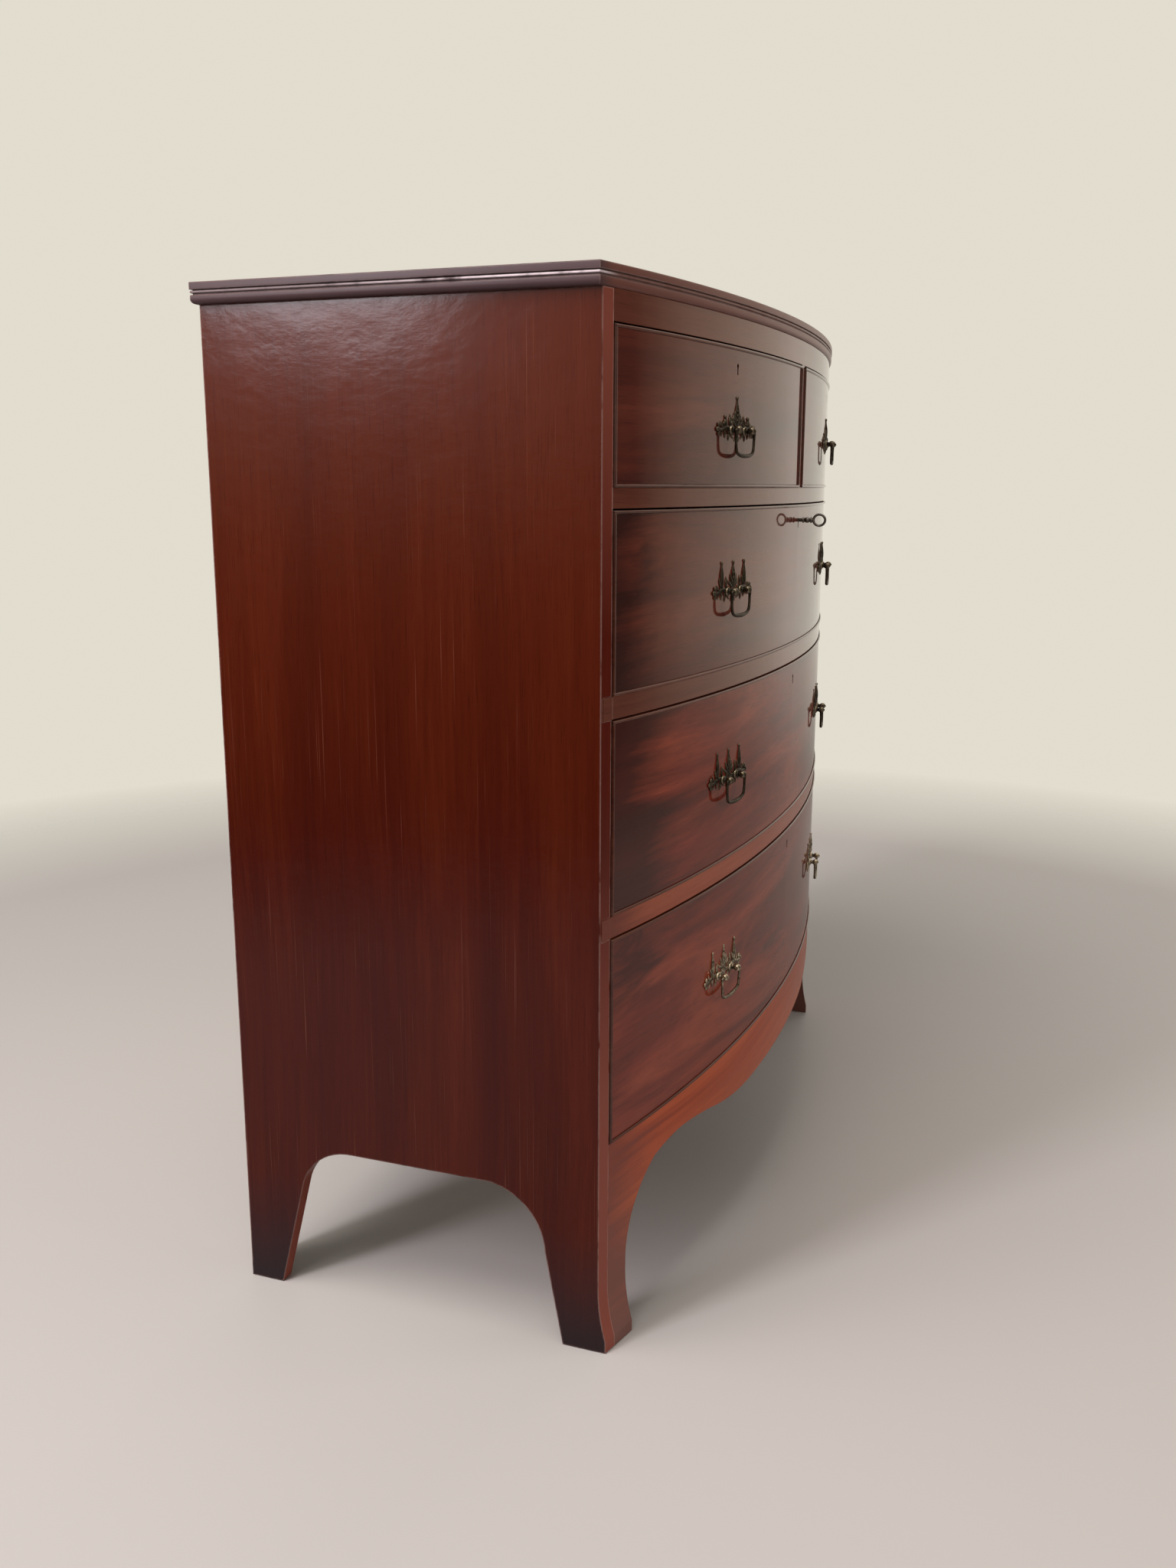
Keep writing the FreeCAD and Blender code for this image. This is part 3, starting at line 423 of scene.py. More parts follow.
def bead_highlight_line(tree, colour, along, patchy, moulding):
    """A painted highlight: a pale line along the moulding's bead, on the ends of the top and stronger towards
    the front.
    """
    soft = 0.0006
    low, high, corner_y = moulding["bead_low"], moulding["bead_high"], moulding["corner_y"]
    on_bead = both(tree, spread(tree, along[2], low, low + soft), spread(tree, along[2], high, high - soft))
    on_end = both(tree, spread(tree, along[1], 0.12, -0.06, 0.2, 1.0),
                  spread(tree, along[1], corner_y - 0.005, corner_y + 0.001))
    rubbed_and_highlit = both(tree, both(tree, on_bead, patchy), on_end)
    return blend_tones(tree, rubbed_and_highlit, colour, moulding["bead_highlight_tone"])


top_low, top_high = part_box("top_board")
half_width = -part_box("left_side")[0].x
bow_front_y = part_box("top_rail")[0].y
bow_rise = 0.072
bow_radius = (half_width ** 2 + bow_rise ** 2) / (2.0 * bow_rise)
front_overhang = bow_front_y - top_low.y


def top_member(inset, low, high, rounds):
    """One member of the top's edge: the bowed outline sawn from a disc, raised, its given edges rounded."""
    disc_radius = bow_radius + front_overhang - inset
    bpy.ops.object.select_all(action="DESELECT")
    bpy.ops.mesh.primitive_circle_add(vertices=720, radius=disc_radius, fill_type="NGON",
                                      location=(0.0, bow_front_y + bow_radius, low))
    member = bpy.context.object
    settle(member)
    bpy.ops.object.mode_set(mode="EDIT")
    for outwards, reach in (((1, 0, 0), top_high.x), ((-1, 0, 0), -top_low.x), ((0, 1, 0), top_high.y)):
        bpy.ops.mesh.select_all(action="SELECT")
        bpy.ops.mesh.bisect(plane_co=Vector(outwards) * (reach - inset), plane_no=outwards, clear_outer=True)
    bpy.ops.mesh.select_all(action="SELECT")
    bpy.ops.mesh.extrude_region_move(TRANSFORM_OT_translate={"value": (0.0, 0.0, high - low)})
    bpy.ops.object.mode_set(mode="OBJECT")
    face_outwards(member)
    for level, radius, steps in rounds:
        bpy.ops.object.mode_set(mode="EDIT")
        bpy.ops.mesh.select_mode(type="EDGE")
        bpy.ops.mesh.select_all(action="DESELECT")
        bpy.ops.object.mode_set(mode="OBJECT")
        corners = member.data.vertices
        for border in member.data.edges:
            border.select = all(abs(corners[i].co.z - level) < 0.00001 for i in border.vertices)
        bpy.ops.object.mode_set(mode="EDIT")
        bpy.ops.mesh.bevel(offset=radius, segments=steps, profile=0.5)
        bpy.ops.object.mode_set(mode="OBJECT")
    return member


torus_high = top_low.z + 0.0084
bead_low = torus_high + 0.0013
bead_high = bead_low + 0.0025
band_low = bead_high + 0.0010
core_lap = 0.0005
bead_inset = 0.0004
quirk_depth = 0.0024
moulded_top = top_member(0.0, band_low, top_high.z, [(top_high.z, 0.0009, 3)])
moulded_top.name = "moulded_top"
worked_with(moulded_top, [
    top_member(bead_inset, bead_low, bead_high, [(bead_low, 0.0012, 4), (bead_high, 0.0012, 4)]),
    top_member(bead_inset, top_low.z, torus_high, [(top_low.z, 0.0045, 8), (torus_high, 0.0012, 3)]),
    top_member(quirk_depth, torus_high - core_lap, band_low + core_lap, [])], "UNION")
face_outwards(moulded_top)
smoothed(moulded_top, 32.0)
top_tones = [(0.0, (0.020, 0.0070, 0.0058, 1.0)), (0.45, (0.042, 0.0140, 0.0108, 1.0)),
             (0.75, (0.066, 0.0220, 0.0160, 1.0)), (1.0, (0.100, 0.0350, 0.0260, 1.0))]
# The ends of the moulding take a grey-purple tone, partly a painted sheen, and the pale line along its bead
# is a painted highlight.
top_edge = {"corner_y": -0.155, "bead_low": bead_low, "bead_high": bead_high,
            "bead_highlight_tone": (0.80, 0.66, 0.68, 1.0), "end_tone": (0.092, 0.057, 0.061, 1.0),
            "front_tone": (0.190, 0.062, 0.046, 1.0), "front_polish": 0.7}
top_finish = polished_mahogany("top_mahogany", "X", top_tones, shift=(0.7, 0.2, 0.5), moulding=top_edge,
                               worn=(0.42, 0.30, 0.27, 1.0), wear=(0.30, 0.52), edge=0.0018,
                               polish=0.22, gloss=0.3)
finished_in(moulded_top, top_finish)
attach(moulded_top, "carcase")
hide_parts("top_board")


# Drawer sides and backs are thin oak, dovetailed at the corners, and the bottoms are oak
# boards slid into grooves. All of it is left bare and has gone brown with handling.
oak_tones = [(0.0, (0.170, 0.092, 0.040, 1.0)), (0.5, (0.330, 0.205, 0.100, 1.0)),
             (1.0, (0.430, 0.290, 0.155, 1.0))]
drawer_names = ["upper_left", "upper_right", "second", "third", "bottom"]
oak_long = bare_wood("oak_front_to_back", "Y", oak_tones, rough=0.55, shift=(0.2, 0.4, 0.9))
oak_cross = bare_wood("oak_across", "X", oak_tones, rough=0.6, shift=(0.5, 0.3, 0.1))
for name in drawer_names:
    dress(oak_long, name + "_drawer_frame")
    dress(oak_cross, name + "_drawer_bottom")


# Drawer fronts are bowed mahogany with a flame figure lying along the drawer, stained
# darker than the rails. Their faces are polished like glass and their top edges left bare.
def flamed(tree, colour, tongues, tones, strength):
    """The dark and pale tongues of a flame figure."""
    colour = blend_tones(tree, spread(tree, tongues, 0.50, 0.72, 0.0, strength), colour, tones[0][1])
    return blend_tones(tree, spread(tree, tongues, 0.48, 0.30, 0.0, strength * 0.8), colour, tones[-1][1])


def clouded(tree, colour, along, eddy, patch, dark):
    """A dark cloud in the figure, from its middle and half sizes in X and Z."""
    middle_x, middle_z, half_wide, half_high = patch
    off = layer(tree, "CombineXYZ", {0: spread(tree, along[0], middle_x, middle_x + half_wide, clamp=False),
                                     2: spread(tree, along[2], middle_z, middle_z + half_high, clamp=False)})
    far = layer(tree, "VectorMath", {0: off.outputs[0]}, operation="LENGTH").outputs["Value"]
    ragged = sum_of(tree, far, eddy, 2.4)
    return blend_tones(tree, spread(tree, ragged, 2.2, 1.3, 0.0, 0.7), colour, dark)


front_tones = [(0.0, (0.026, 0.0050, 0.0036, 1.0)), (0.40, (0.084, 0.0150, 0.0088, 1.0)),
               (0.75, (0.135, 0.0260, 0.0140, 1.0)), (1.0, (0.215, 0.0480, 0.0250, 1.0))]
# The third and bottom fronts take these brighter tones: painted light from the floor below them.
floor_lit_tones = [(0.0, (0.032, 0.0034, 0.0020, 1.0)), (0.40, (0.125, 0.0150, 0.0076, 1.0)),
              (0.75, (0.225, 0.0320, 0.0160, 1.0)), (1.0, (0.390, 0.0740, 0.0330, 1.0))]
# The second and third fronts darken at their left ends: a painted dark reflection.
painted_dark_ends = {"second": -0.455, "third": -0.388}
dark_patches = {"second": [(-0.439, 0.783, 0.030, 0.034)], "bottom": [(-0.455, 0.400, 0.085, 0.048)]}
for count, name in enumerate(drawer_names):
    # The third and bottom fronts get the brighter tones, painted light.
    deep = name in ("third", "bottom")
    front_finish = polished_mahogany(name + "_front_mahogany", "X", floor_lit_tones if deep else front_tones,
                                     shift=(0.31 * count, 0.0, 0.17 * count), bowed=True,
                                     figure=0.9 if deep else 0.8, patches=dark_patches.get(name, ()),
                                     painted_dark_end_x=painted_dark_ends.get(name), polish=0.8 if deep else 1.0, gloss=0.05)
    dress(front_finish, name + "_drawer_front")


# Cock beads are thin strips of mahogany let into the edges of each drawer front. They
# stand proud, take the knocks, and so are rubbed pale along their noses.
bead_tones = [(0.0, (0.036, 0.009, 0.006, 1.0)), (0.5, (0.096, 0.024, 0.013, 1.0)),
              (1.0, (0.180, 0.052, 0.028, 1.0))]
bead_finish = polished_mahogany("bead_mahogany", "X", bead_tones, bowed=True, worn=(0.30, 0.17, 0.12, 1.0))
for name in drawer_names:
    dress(bead_finish, name + "_drawer_beads")


# Locks, bolt, posts, plates and bails are cast brass with a dark patina, bright where
# fingers rub it. Nails and screws are iron and the key is steel gone brown.
def aged_metal(name, dark, bright, rough_low, rough_high, rub=0.5, rims=0.6):
    """Metal with patina in the hollows and bright rubbed edges."""
    finish, tree, coords = fresh_finish(name)
    cloud = fibres(tree, coords, (260.0, 260.0, 260.0), detail=5.0, rough=0.7)
    speck = fibres(tree, coords, (1400.0, 1400.0, 1400.0))
    shape = layer(tree, "NewGeometry").outputs
    rounded, turn = eased_edges(tree, shape["Normal"], 0.0006)
    rim = sum_of(tree, spread(tree, turn, 0.99, 0.80), spread(tree, shape["Pointiness"], 0.505, 0.57))
    worn = sum_of(tree, spread(tree, cloud, 0.40, 0.75, 0.0, rub), rim, rims)
    colour = tone_run(tree, worn, [(0.0, dark), (0.9, bright)])
    rough = sum_of(tree, spread(tree, worn, 0.0, 1.0, rough_high, rough_low), speck, 0.08)
    pitted = bumped(tree, sum_of(tree, speck, cloud, 0.6), 0.3, 0.0001, rounded)
    surfaced(tree, {"Base Color": colour, "Metallic": 1.0, "Roughness": rough, "Normal": pitted})
    return finish


patina = (0.012, 0.010, 0.008, 1.0)
highlit_brass_dark = (0.030, 0.024, 0.018, 1.0)
brass = aged_metal("dark_brass", patina, (0.52, 0.43, 0.30, 1.0), 0.22, 0.45, rub=0.22, rims=0.5)
bail_brass = aged_metal("bail_brass", patina, (0.42, 0.34, 0.23, 1.0), 0.2, 0.42, rub=0.22, rims=0.08)
# The bottom drawer's handles get this brighter brass: a painted highlight.
highlit_brass = aged_metal("highlit_brass", highlit_brass_dark, (0.80, 0.68, 0.50, 1.0), 0.22, 0.4, rub=0.8)
highlit_bail_brass = aged_metal("highlit_bail_brass", highlit_brass_dark, (0.62, 0.52, 0.38, 1.0), 0.2, 0.4, rub=0.6,
                               rims=0.2)
lock_brass = aged_metal("lock_brass", (0.16, 0.12, 0.06, 1.0), (0.66, 0.50, 0.24, 1.0), 0.25, 0.5, rub=0.8)
key_steel = aged_metal("key_steel", (0.045, 0.040, 0.036, 1.0), (0.34, 0.31, 0.28, 1.0), 0.25, 0.5)
iron = aged_metal("nail_iron", (0.030, 0.026, 0.024, 1.0), (0.16, 0.14, 0.13, 1.0), 0.4, 0.65)
dress(iron, "back_nails", "top_screws")
dress(lock_brass, "lock_bolt")
for name in drawer_names:
    dress(lock_brass, name + "_drawer_lock")


# Each handle has a cast openwork plate: a beaded boss in the middle, leaves and tall finials
# rising from a stem, and three balls at each end. It lies on the front, held by two posts.
def stem(points, flatten=0.95):
    """A tapering cast stem on the plane Y = 0, through points of (x, z, half thickness) in millimetres."""
    bpy.ops.object.select_all(action="DESELECT")
    bpy.ops.curve.primitive_nurbs_path_add()
    piece = bpy.context.object
    curve = piece.data
    curve.splines.clear()
    line = curve.splines.new("NURBS")
    line.points.add(len(points) - 1)
    for point, (x, z, half) in zip(line.points, points):
        point.co = (x / 1000.0, 0.0, z / 1000.0, 1.0)
        point.radius = half
    line.order_u = 3
    line.use_endpoint_u = True
    curve.bevel_depth = 0.001
    curve.bevel_resolution = 3
    curve.resolution_u = 6
    curve.use_fill_caps = True
    bpy.ops.object.convert(target="MESH")
    piece = bpy.context.object
    piece.scale = (1.0, flatten, 1.0)
    settle(piece)
    return piece


def boss(x, z, wide, high, deep):
    """A domed boss on the plane Y = 0, its half sizes in millimetres."""
    bpy.ops.object.select_all(action="DESELECT")
    bpy.ops.mesh.primitive_uv_sphere_add(segments=24, ring_count=14, radius=0.001,
                                         location=(x / 1000.0, 0.0, z / 1000.0))
    piece = bpy.context.object
    piece.scale = (wide, deep, high)
    settle(piece)
    return piece


post_x = 18.0
finial_x = 31.0
ball_x = 47.4
tip_x = 50.6


def half_plate(side_rise, shoulders):
    """The stems of a plate's right half, in millimetres, with a side finial of the given rise."""
    leaf = side_rise / 23.0
    inner_leaves = [[(1.0, 5.0, 1.0), (5.0, 10.0, 1.9), (7.5, 14.5, 1.5), (8.4, 18.5, 0.35)],
                    [(3.0, 4.0, 1.0), (8.0, 7.2, 1.7), (12.2, 9.0, 1.3), (14.6, 12.0, 0.35)],
                    [(1.0, -4.0, 1.0), (4.6, -8.0, 1.6), (5.6, -11.4, 0.35)]]
    post_leaves = [[(post_x, 2.0, 1.2), (20.0, 8.0, 1.8), (18.2, 12.5, 1.3), (18.8, 16.0, 0.35)],
                   [(19.0, -2.0, 1.2), (23.0, -7.0, 1.6), (22.0, -11.0, 0.35)],
                   [(17.0, -2.0, 1.2), (13.0, -6.8, 1.6), (9.2, -8.6, 0.35)]]
    main_stems = [[(5.0, 0.5, 1.8), (12.0, 0.2, 1.9), (post_x, 0.0, 2.0)],
                  [(post_x, 0.0, 2.0), (25.0, 3.0, 1.8), (33.0, 2.8, 1.8), (40.0, -0.8, 1.6),
                   (47.5, -0.2, 1.4)]]
    spear = [(0.0, 1.2), (0.27, 2.5), (0.6, 2.2), (0.85, 1.1), (0.97, 1.0)]
    finial = [[(finial_x, 3.0 + side_rise * share, half) for share, half in spear],
              [(30.0, 4.0, 1.0), (26.6, 4.0 + 4.5 * leaf, 1.7), (25.0, 4.0 + 9.5 * leaf, 0.35)],
              [(32.0, 4.0, 1.0), (35.6, 4.0 + 4.0 * leaf, 1.7), (37.2, 4.0 + 9.0 * leaf, 0.35)],
              [(finial_x, 1.0, 1.2), (32.0, -4.0, 1.8), (30.5, -8.6, 0.35)]]
    end_leaves = [[(38.0, 0.5, 1.0), (41.5, 4.5, 1.4), (42.4, 8.2, 0.35)],
                  [(38.0, -1.0, 1.0), (40.6, -4.6, 1.3), (40.0, -7.4, 0.35)]]
    stems = inner_leaves + post_leaves + main_stems + finial + end_leaves
    if shoulders:
        stems.append([(1.0, 20.0, 1.0), (6.0, 16.5, 1.4), (12.0, 9.0, 1.5), (post_x, 3.0, 1.4)])
    return stems


def cast_plate(name, side_rise, crown, shoulders):
    """One openwork plate about the middle of its two posts, its back on Y = 0 and its face towards -Y."""
    pieces = [boss(0.0, 0.5, 6.4, 5.0, 1.7), boss(0.0, 0.5, 3.4, 2.5, 2.6), boss(0.0, crown, 2.1, 2.1, 1.8),
              stem([(0.0, 4.0, 1.4), (0.0, crown * 0.38, 3.4), (0.0, crown * 0.65, 3.0),
                    (0.0, crown * 0.85, 1.4), (0.0, crown, 1.2)]),
              stem([(0.0, -4.0, 1.2), (0.0, -8.0, 2.3), (0.0, -11.5, 1.4), (0.0, -13.8, 0.35)])]
    bead_count = 12
    for bead in range(bead_count):
        turn = bead * 2.0 * math.pi / bead_count
        pieces.append(boss(5.7 * math.cos(turn), 0.5 + 4.3 * math.sin(turn), 0.9, 0.9, 2.0))
    for side in (-1.0, 1.0):
        for points in half_plate(side_rise, shoulders):
            pieces.append(stem([(side * x, z, half * 1.2) for x, z, half in points]))
        pieces += [boss(side * post_x, 0.0, 5.4, 5.4, 1.6), boss(side * tip_x, 0.0, 3.2, 2.6, 2.0),
                   boss(side * ball_x, 4.2, 2.5, 2.5, 1.8), boss(side * ball_x, -4.4, 2.5, 2.5, 1.8),
                   boss(side * finial_x, 3.6 + side_rise, 1.9, 1.9, 1.7)]
    alone(*pieces)
    bpy.ops.object.join()
    plate = bpy.context.object
    plate.name = name
    cast = plate.modifiers.new("cast", "REMESH")
    cast.mode = "VOXEL"
    cast.voxel_size = 0.00042
    eased = plate.modifiers.new("eased", "SMOOTH")
    eased.factor = 0.5
    eased.iterations = 3
    apply_all(plate)
    bpy.ops.object.select_all(action="DESELECT")
    bpy.ops.mesh.primitive_cube_add(size=0.2, location=(0.0, 0.1, 0.0))
    drawer_face = bpy.context.object
    settle(drawer_face)
    worked_with(plate, [drawer_face], "DIFFERENCE")
    smoothed(plate, 50.0)
    return plate


long_plate = cast_plate("long_plate", 26.0, 29.5, shoulders=False)
short_plate = cast_plate("short_plate", 9.0, 32.0, shoulders=True)


# Two turned posts carry each bail. A post has a ball head with an eye, a waisted neck and a
# foot on the plate, and its shank runs through the drawer front to a round nut inside.
def turned(name, profile, sides):
    """A piece turned about the Y axis, from points of (radius, y) in millimetres."""
    first_radius, first_place = profile[0]
    bpy.ops.object.select_all(action="DESELECT")
    bpy.ops.mesh.primitive_circle_add(vertices=sides, radius=first_radius / 1000.0, fill_type="NGON",
                                      location=(0.0, first_place / 1000.0, 0.0),
                                      rotation=(math.pi / 2, 0.0, 0.0))
    piece = bpy.context.object
    piece.name = name
    settle(piece)
    bpy.ops.object.mode_set(mode="EDIT")
    bpy.ops.mesh.select_all(action="SELECT")
    for (radius, place), (next_radius, next_place) in zip(profile, profile[1:]):
        step = (0.0, (next_place - place) / 1000.0, 0.0)
        bpy.ops.mesh.extrude_region_move(TRANSFORM_OT_translate={"value": step})
        if next_radius != radius:
            bpy.ops.transform.resize(value=(next_radius / radius, 1.0, next_radius / radius),
                                     center_override=(0.0, next_place / 1000.0, 0.0))
    bpy.ops.object.mode_set(mode="OBJECT")
    face_outwards(piece)
    return piece


post_profile = [(0.5, -14.8), (1.1, -14.5), (1.4, -14.0), (2.7, -13.2), (3.8, -11.8), (4.2, -10.0),
                (3.8, -8.2), (2.8, -6.9), (2.4, -6.1), (2.4, -5.2), (2.9, -4.2), (4.2, -3.4),
                (4.6, -2.9), (4.6, -1.5), (2.0, -1.4), (2.0, 20.0), (5.5, 20.0), (6.0, 20.5),
                (6.0, 22.5), (5.5, 23.0), (2.0, 23.0), (2.0, 24.2), (1.6, 24.6)]
pin_reach = 0.010
eye_radius = 0.00212
post = turned("post", post_profile, 28)
bpy.ops.object.select_all(action="DESELECT")
bpy.ops.mesh.primitive_cylinder_add(vertices=24, radius=eye_radius, depth=0.02,
                                    location=(0.0, -pin_reach, 0.0), rotation=(0.0, math.pi / 2, 0.0))
drill = bpy.context.object
worked_with(post, [drill], "DIFFERENCE")
smoothed(post, 40.0)

# The bails are swan-neck drops of round brass, thickest at the bottom where the fingers
# pull. Their ends turn inwards through the eyes of the posts.
half_bail = [(12.8, 0.0, 1.9), (15.0, 0.0, 1.9), (20.0, 0.0, 1.9), (23.4, 0.0, 1.9), (25.2, -0.4, 1.9),
             (25.2, -3.4, 1.7), (24.9, -9.0, 1.4), (24.6, -16.0, 1.5), (22.6, -22.4, 1.6), (14.0, -24.8, 1.9),
             (5.5, -25.4, 2.2)]
lowest_point = (0.0, -25.5, 2.3)
bail = stem([(-x, z, half) for x, z, half in half_bail] + [lowest_point] + half_bail[::-1], flatten=1.0)
bail.name = "bail"
face_outwards(bail)
smoothed(bail, 50.0)

# Plates, posts and bails are modelled once, then set on every drawer at the hinge of its
# bail. The handles of the bottom drawer get brighter brass than the rest, a painted highlight.
post_offset = post_x / 1000.0
for joint in frame["joints"]:
    if not joint["child"].endswith("_bail"):
        continue
    handle = joint["child"][:-len("_bail")]
    drawer = joint["parent"]
    plate = short_plate if handle.startswith("upper") else long_plate
    heading = math.atan2(-joint["axis"][1], -joint["axis"][0])
    pin = Matrix.Translation(joint["pos_m"]) @ Matrix.Rotation(heading, 4, "Z")
    front = pin @ Matrix.Translation((0.0, pin_reach, 0.0))
    left = front @ Matrix.Translation((-post_offset, 0.0, 0.0))
    right = front @ Matrix.Translation((post_offset, 0.0, 0.0))
    for name, model, place in ((handle + "_plate", plate, front),
                               (handle + "_left_post", post, left),
                               (handle + "_right_post", post, right),
                               (handle + "_swan_neck_bail", bail, pin)):
        piece = model.copy()
        piece.data = model.data.copy()
        piece.name = name
        piece.data.name = name
        bpy.context.scene.collection.objects.link(piece)
        piece.matrix_world = place
        settle(piece)
        if handle.startswith("bottom"):
            finished_in(piece, highlit_bail_brass if model is bail else highlit_brass)
        else:
            finished_in(piece, bail_brass if model is bail else brass)
        if model is bail:
            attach(piece, joint["child"])
            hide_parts(joint["child"])
        else:
            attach(piece, drawer)
            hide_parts(drawer + "_handle_plates")
for model in (long_plate, short_plate, post, bail):
    bpy.data.objects.remove(model)


# The key stands in the first long drawer: a forged steel ring, a turned baluster with two
# collars, and a hollow barrel that slips over the lock's pin, with its bit below.
key_place = Vector(next(joint["pos_m"] for joint in frame["joints"] if joint["child"] == "key"))
key_profile = [(1.2, -19.4), (2.0, -18.0), (2.3, -17.2), (3.1, -16.7), (3.4, -16.1), (3.4, -15.3),
               (3.0, -14.7), (2.2, -14.2), (2.4, -13.5), (3.0, -12.5), (3.3, -11.2), (3.2, -9.8),
               (2.7, -8.6), (2.2, -7.9), (2.3, -7.6), (3.0, -7.2), (3.4, -6.6), (3.4, -5.8),
               (3.0, -5.3), (2.1, -4.8), (2.1, 18.8), (1.9, 19.0), (1.25, 19.0), (1.2, 10.7), (0.5, 10.6)]
ring_place = (0.0, -0.0255, 0.0)
ring_radius = 0.0070
ring_thickness = 0.0015
ring_squeeze = (0.85, 1.0, 0.94)
bit_place = (0.0, 0.017, -0.0048)
bit_size = (0.0022, 0.0040, 0.0072)
turned_key = turned("turned_key", key_profile, 32)
bpy.ops.object.select_all(action="DESELECT")
bpy.ops.mesh.primitive_torus_add(major_radius=ring_radius, minor_radius=ring_thickness, major_segments=56,
                                 minor_segments=16, location=ring_place, rotation=(0.0, math.pi / 2, 0.0))
ring = bpy.context.object
settle(ring)
bpy.ops.object.mode_set(mode="EDIT")
bpy.ops.mesh.select_all(action="SELECT")
bpy.ops.transform.resize(value=ring_squeeze, center_override=ring_place)
bpy.ops.object.mode_set(mode="OBJECT")
bpy.ops.object.select_all(action="DESELECT")
bpy.ops.mesh.primitive_cube_add(size=1.0, location=bit_place)
bit = bpy.context.object
bit.scale = bit_size
settle(bit)
bpy.ops.object.mode_set(mode="EDIT")
bpy.ops.mesh.select_all(action="SELECT")
bpy.ops.mesh.bevel(offset=0.0002, segments=2, affect="EDGES")
bpy.ops.object.mode_set(mode="OBJECT")
worked_with(turned_key, [ring, bit], "UNION")
turned_key.location = key_place
settle(turned_key)
face_outwards(turned_key)
smoothed(turned_key, 40.0)
finished_in(turned_key, key_steel)
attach(turned_key, "key")
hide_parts("key")


# A plain pale floor under the chest, dull and round, that fades out into the room
# before its rim shows.
bpy.ops.object.select_all(action="DESELECT")
bpy.ops.mesh.primitive_circle_add(vertices=96, radius=2.6, fill_type="NGON", location=(0.0, 0.0, -0.0005))
floor = bpy.context.object
floor.name = "floor"
floor_finish, floor_tree, floor_place = fresh_finish("pale_floor")
seen = layer(floor_tree, "LightPath").outputs["Is Camera Ray"]
floor_tone = blend_tones(floor_tree, seen, (0.34, 0.31, 0.29, 1.0), (0.50, 0.465, 0.44, 1.0))
floor_skin = layer(floor_tree, "BsdfPrincipled", {"Base Color": floor_tone, "Roughness": 0.55})
reach = layer(floor_tree, "VectorMath", {0: floor_place}, operation="LENGTH").outputs["Value"]
fade = layer(floor_tree, "MixShader", {0: spread(floor_tree, reach, 1.6, 2.5), 1: floor_skin.outputs[0],
                                       2: layer(floor_tree, "BsdfTransparent").outputs[0]})
layer(floor_tree, "OutputMaterial", {"Surface": fade.outputs[0]})
floor.data.materials.append(floor_finish)

# The room is a plain pale wall. Only polish and metal see it as brighter and darker bands,
# which give the bowed fronts their sheen.
room = bpy.data.worlds.new("room")
room.use_nodes = True
bpy.context.scene.world = room
room_tree = room.node_tree
room_tree.nodes.clear()
plain_wall = (0.76, 0.72, 0.62, 1.0)
dim_light = (0.16, 0.155, 0.15, 1.0)
towards = layer(room_tree, "SeparateXYZ", {0: layer(room_tree, "TexCoord").outputs["Generated"]}).outputs
wall = tone_run(room_tree, spread(room_tree, towards[1], -1.0, -0.10), [
    (0.0, (0.50, 0.45, 0.40, 1.0)), (0.07, (0.30, 0.27, 0.24, 1.0)), (0.16, (0.07, 0.05, 0.045, 1.0)),
    (0.30, (0.07, 0.05, 0.045, 1.0)), (0.365, (0.42, 0.33, 0.25, 1.0)), (0.424, (0.60, 0.50, 0.40, 1.0)),
    (0.69, (0.80, 0.72, 0.60, 1.0)), (0.83, (0.88, 0.79, 0.69, 1.0)), (1.0, plain_wall)])
below = spread(room_tree, towards[2], -0.10, -0.20, 0.0, 0.75)
wall = blend_tones(room_tree, below, wall, (0.16, 0.145, 0.13, 1.0))
leftward = spread(room_tree, towards[0], -0.5, -0.8)
low_left = both(room_tree, leftward, spread(room_tree, towards[2], 0.06, -0.06))
wall = blend_tones(room_tree, low_left, wall, (0.06, 0.05, 0.045, 1.0))
rays = layer(room_tree, "LightPath").outputs
glow = blend_tones(room_tree, rays["Is Glossy Ray"], dim_light, wall)
glow = blend_tones(room_tree, rays["Is Camera Ray"], glow, plain_wall)
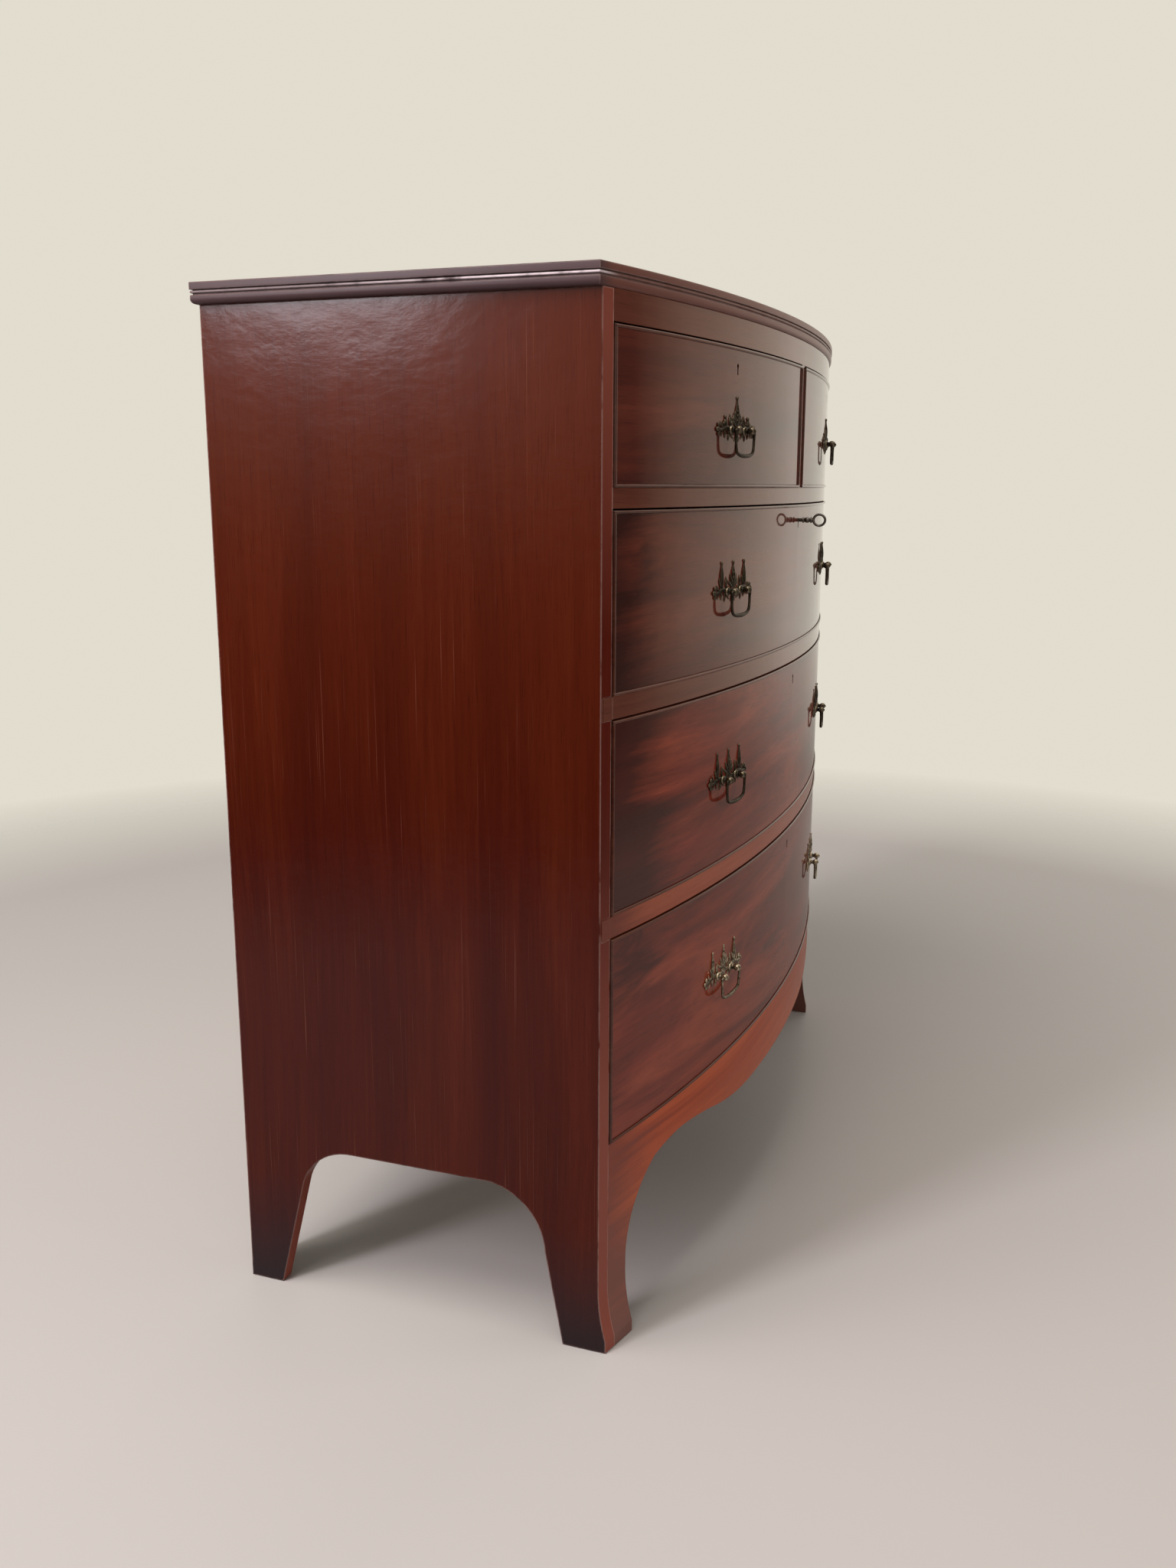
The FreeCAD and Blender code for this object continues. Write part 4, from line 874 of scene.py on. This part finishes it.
layer(room_tree, "OutputWorld", {"Surface": layer(room_tree, "Background", {"Color": glow}).outputs[0]})


# Soft light falls from a tall box behind the left side and a wide one overhead. Two weaker
# boxes fill the front and the right, and polish doesn't mirror those two.
def soft_light(name, place, aim, width, height, power, tone=(1.0, 0.97, 0.92), mirrored=True):
    """A soft box turned towards a point, which polish may mirror."""
    lamp = bpy.data.lights.new(name, "AREA")
    lamp.shape = "RECTANGLE"
    lamp.size = width
    lamp.size_y = height
    lamp.energy = power
    lamp.color = tone
    holder = bpy.data.objects.new(name, lamp)
    bpy.context.scene.collection.objects.link(holder)
    holder.location = place
    holder.visible_glossy = mirrored
    holder.rotation_euler = (Vector(aim) - Vector(place)).to_track_quat("-Z", "Y").to_euler()


soft_light("window_light", (-3.43, 1.81, 2.4), (-0.23, -0.34, 0.4), 0.7, 2.2, 105.0, tone=(0.96, 0.92, 1.0))
soft_light("ceiling_light", (-1.4, 0.6, 3.3), (0.0, 0.0, 0.3), 2.0, 2.0, 92.0)
soft_light("room_light", (0.4, -3.8, 1.5), (0.0, 0.0, 0.55), 3.0, 2.2, 58.0, mirrored=False)
soft_light("fill_light", (3.4, -0.4, 2.3), (0.3, 0.0, 0.5), 2.2, 2.2, 26.0, mirrored=False)

# The camera stands off the chest's front left corner, a little below the level of the top
# and tilted down, as in the photograph.
camera_place = (-1.6637, -0.5567, 0.8546)
camera_heading = 19.8853
camera_tilt = -12.3662
camera_roll = 0.1608
camera_data = bpy.data.cameras.new("camera")
camera_data.lens = 31.319
camera_data.sensor_width = 36.0
camera = bpy.data.objects.new("camera", camera_data)
bpy.context.scene.collection.objects.link(camera)
level = Matrix.Rotation(math.radians(camera_heading - 90.0), 4, "Z")
tilted = Matrix.Rotation(math.radians(camera_tilt + 90.0), 4, "X")
rolled = Matrix.Rotation(math.radians(camera_roll), 4, "Z")
camera.matrix_world = Matrix.Translation(camera_place) @ level @ tilted @ rolled
bpy.context.scene.camera = camera
bpy.context.scene.view_settings.view_transform = "Standard"
